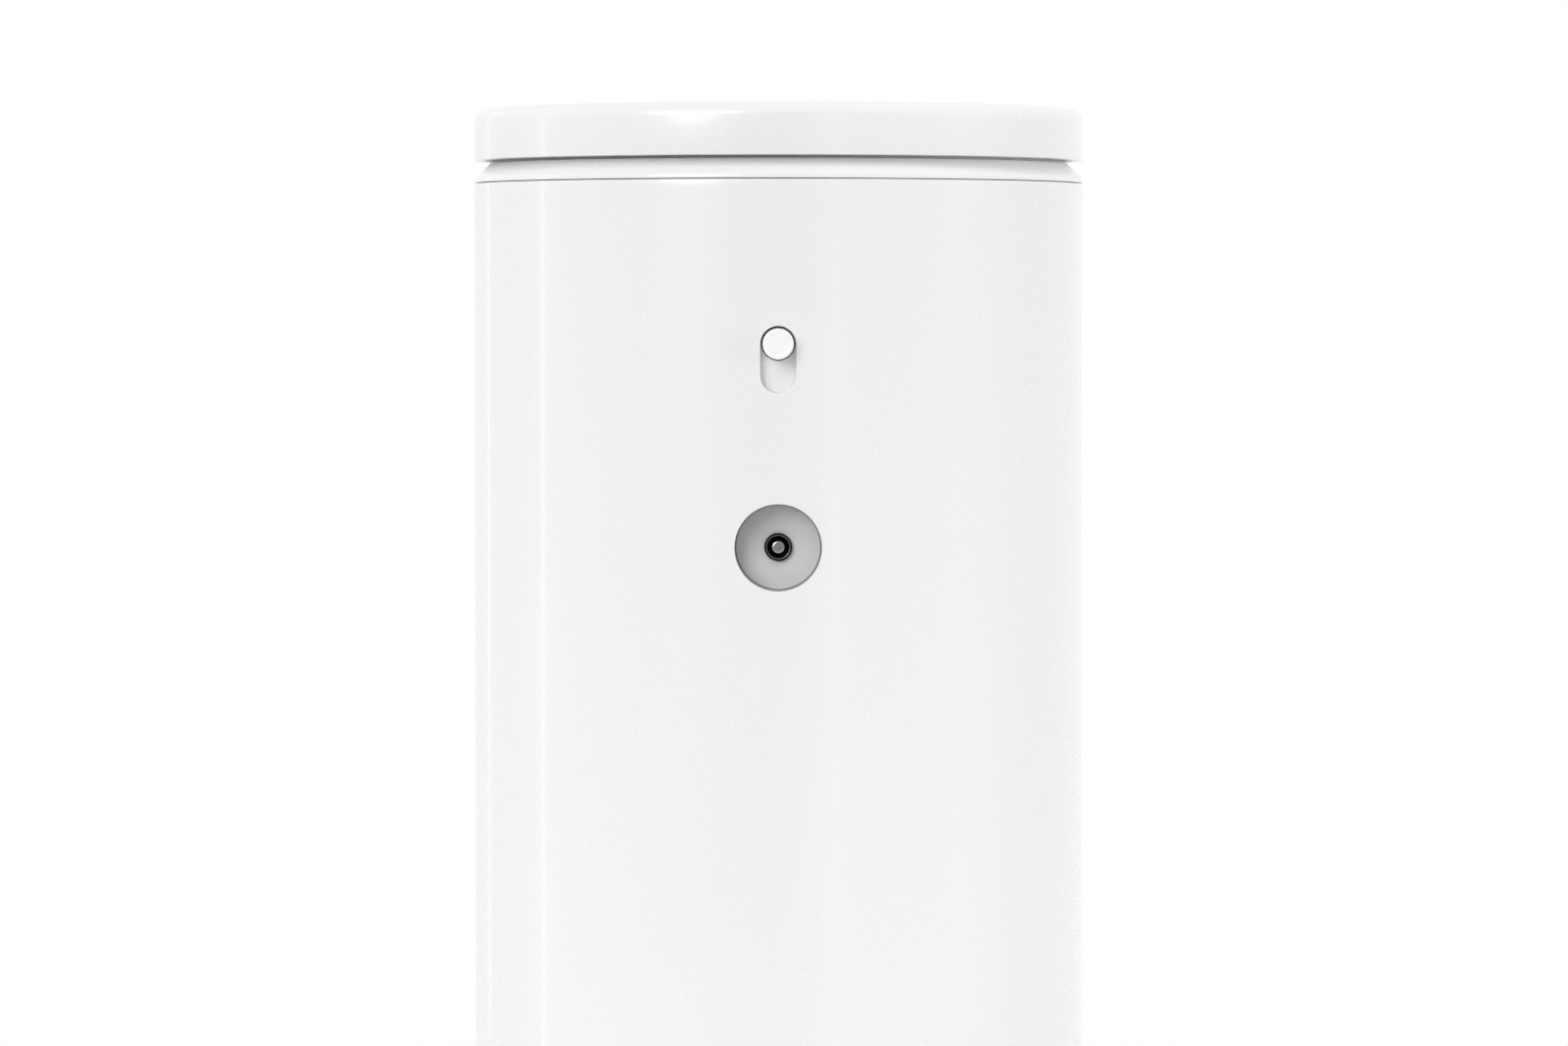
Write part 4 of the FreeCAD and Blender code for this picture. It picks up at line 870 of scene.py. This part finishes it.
def add_leg(bm, x, board, edge, way):
    """A chip's leg: out of the case, down to the board and away along it."""
    half = 0.2 * MM
    for start, end, low, high in LEG:
        bottom, top = sorted((edge + way * start * MM, edge + way * end * MM))
        corner, other = (x - half, board - high * MM, bottom), (x + half, board - low * MM, top)
        add_block(bm, corner, other, 0.03 * MM)


def add_turn_of_wire(bm, centre, spoke, reach, wire):
    """One turn of wire round a ring core that lies flat against the back."""
    rings = []
    flank = spoke.cross(Vector((0, 1, 0)))
    for angle in once_round(20):
        away = spoke * math.cos(angle) + Vector((0, math.sin(angle), 0))
        rings.append([
            bm.verts.new(centre + away * (reach + wire * math.cos(bend)) + flank * wire * math.sin(bend))
            for bend in once_round(8)
        ])
    for ring, after in zip(rings, rings[1:] + rings[:1]):
        for i in range(len(ring)):
            j = (i + 1) % len(ring)
            bm.faces.new((ring[i], after[i], after[j], ring[j]))


def make_windings():
    """The motor's coils, wound in even turns."""
    wire, bore = 0.25 * MM, MM
    bm = bmesh.new()
    for low, high in solids("motor_coils"):
        radius = (high.x - low.x) / 2
        turns = int((high.z - low.z) / (2 * wire))
        outline = [Vector((bore, high.z)), Vector((bore, low.z))]
        for i in range(turns):
            for bend in (-60, 0, 60):  # degrees from level, over the wire's outer side
                angle = math.radians(bend)
                level = low.z + wire * (2 * i + 1 + math.sin(angle))
                outline.append(Vector((radius - wire + wire * math.cos(angle), level)))
        turn(bm, outline, 24, Matrix.Translation((low + high) / 2 * Vector((1, 1, 0))))
    finished("wound_coils", bm, "copper", "housing", "motor_coils")


# ---------------------------------------------------------------- stage
FLOOR_RADIUS, FADE_START, FADE_END = 0.65, 0.28, 0.62  # metres from the object's axis


def make_stage():
    """A pale floor that runs out into a white surround, three soft suns and reflected strips."""
    bm = bmesh.new()
    bmesh.ops.create_circle(bm, cap_ends=True, segments=96, radius=FLOOR_RADIUS)
    mesh = bpy.data.meshes.new("floor")
    bm.to_mesh(mesh)
    bm.free()
    mesh.materials.append(floor_paint())
    floor = bpy.data.objects.new("floor", mesh)
    floor.location.z = cad_low.z
    bpy.context.scene.collection.objects.link(floor)

    make_surround()
    bpy.context.scene.view_settings.view_transform = "Standard"
    for name, azimuth, elevation, strength, softness in SUNS:
        sun = add_sun(name, azimuth, elevation, strength, softness)
        sun.visible_glossy = name == "key"
    for name, azimuth, width, glow in STRIPS:
        add_strip(name, azimuth, width, glow)


def floor_paint():
    """Matt paper round the object that brightens to the surround's white further away."""
    material, tree, shader, coordinates = blank("floor_paint")
    speckle = texture(tree, "ShaderNodeTexNoise", 60, coordinates, Detail=2.0).outputs["Fac"]
    paper = blended(tree, speckle, (0.72, 0.72, 0.72), (0.76, 0.76, 0.76))
    tree.links.new(paper, shader.inputs["Base Color"])
    shader.inputs["Roughness"].default_value = 0.6
    distance = tree.nodes.new("ShaderNodeVectorMath")
    distance.operation = "LENGTH"
    tree.links.new(coordinates, distance.inputs[0])
    fade = tree.nodes.new("ShaderNodeMapRange")
    fade.interpolation_type = "SMOOTHSTEP"
    fade.inputs["From Min"].default_value = FADE_START
    fade.inputs["From Max"].default_value = FADE_END
    tree.links.new(distance.outputs["Value"], fade.inputs["Value"])
    glow = tree.nodes.new("ShaderNodeEmission")
    either = tree.nodes.new("ShaderNodeMixShader")
    tree.links.new(fade.outputs["Result"], either.inputs["Fac"])
    tree.links.new(shader.outputs["BSDF"], either.inputs[1])
    tree.links.new(glow.outputs["Emission"], either.inputs[2])
    tree.links.new(either.outputs["Shader"], tree.nodes["Material Output"].inputs["Surface"])
    return material


def make_surround():
    """White to the eye; as light, dim on the side of the object's back and bright beyond its front."""
    world = bpy.data.worlds.new("surround")
    world.use_nodes = True
    tree = world.node_tree
    direction = tree.nodes.new("ShaderNodeTexCoord").outputs["Generated"]
    split = tree.nodes.new("ShaderNodeSeparateXYZ")
    tree.links.new(direction, split.inputs["Vector"])
    light = tree.nodes.new("ShaderNodeMapRange")
    for key, value in (("From Min", -1), ("From Max", 1), ("To Min", 0.2), ("To Max", 1.0)):
        light.inputs[key].default_value = value
    tree.links.new(split.outputs["Y"], light.inputs["Value"])
    strength = tree.nodes.new("ShaderNodeMath")
    strength.operation = "MAXIMUM"
    tree.links.new(light.outputs["Result"], strength.inputs[0])
    tree.links.new(tree.nodes.new("ShaderNodeLightPath").outputs["Is Camera Ray"], strength.inputs[1])
    background = tree.nodes["Background"]
    background.inputs["Color"].default_value = (1, 1, 1, 1)
    tree.links.new(strength.outputs["Value"], background.inputs["Strength"])
    bpy.context.scene.world = world


def towards(azimuth, elevation):
    """The direction at that angle right of the back's middle line, and above level, in degrees."""
    tilt = Matrix.Rotation(math.radians(-elevation), 3, "X")
    return Matrix.Rotation(math.radians(azimuth), 3, "Z") @ tilt @ Vector((0, -1, 0))


def add_lamp(name, kind, azimuth, elevation, energy):
    """A lamp that the camera doesn't see, turned to the column's upper half."""
    light = bpy.data.lights.new(name, kind)
    light.energy = energy
    lamp = bpy.data.objects.new(name, light)
    away = towards(azimuth, elevation)
    lamp.location = away * LAMP_DISTANCE + LAMP_AIM
    lamp.rotation_euler = away.to_track_quat("Z", "Y").to_euler()
    lamp.visible_camera = False
    bpy.context.scene.collection.objects.link(lamp)
    return lamp


def add_sun(name, azimuth, elevation, strength, softness):
    """A sun as wide as the angle of its softness, in degrees."""
    lamp = add_lamp(name, "SUN", azimuth, elevation, strength)
    lamp.data.angle = math.radians(softness)
    return lamp


def add_strip(name, azimuth, width, glow):
    """A tall light that shows as an upright band in the gloss."""
    light = add_lamp(name, "AREA", azimuth, 0, glow * math.pi * width * STRIP_HEIGHT).data
    light.shape = "RECTANGLE"
    light.size, light.size_y = width, STRIP_HEIGHT


def add_camera():
    """A long lens behind the object, at the height of its upper part and turned slightly down."""
    lens, sensor = 139, 36  # mm
    place, tilt = (0.0014, -1.547, 0.2628), 2.15  # metres, and degrees down from level
    data = bpy.data.cameras.new("camera")
    data.lens = lens
    data.sensor_width = sensor
    camera = bpy.data.objects.new("camera", data)
    camera.location = place
    camera.rotation_euler = (math.radians(90 - tilt), 0, 0)
    bpy.context.scene.collection.objects.link(camera)
    bpy.context.scene.camera = camera


dress_frame()
add_camera()
make_lead()
make_column()
make_neck()
make_lid()
make_grille()
make_intake()
make_screen()
make_knob()
make_shadow_ring()
make_cup()
make_pin()
make_lining()
make_pleats()
make_beads()
make_foam()
make_core()
make_seals()
make_cans()
make_chips()
make_choke()
make_windings()
make_stage()
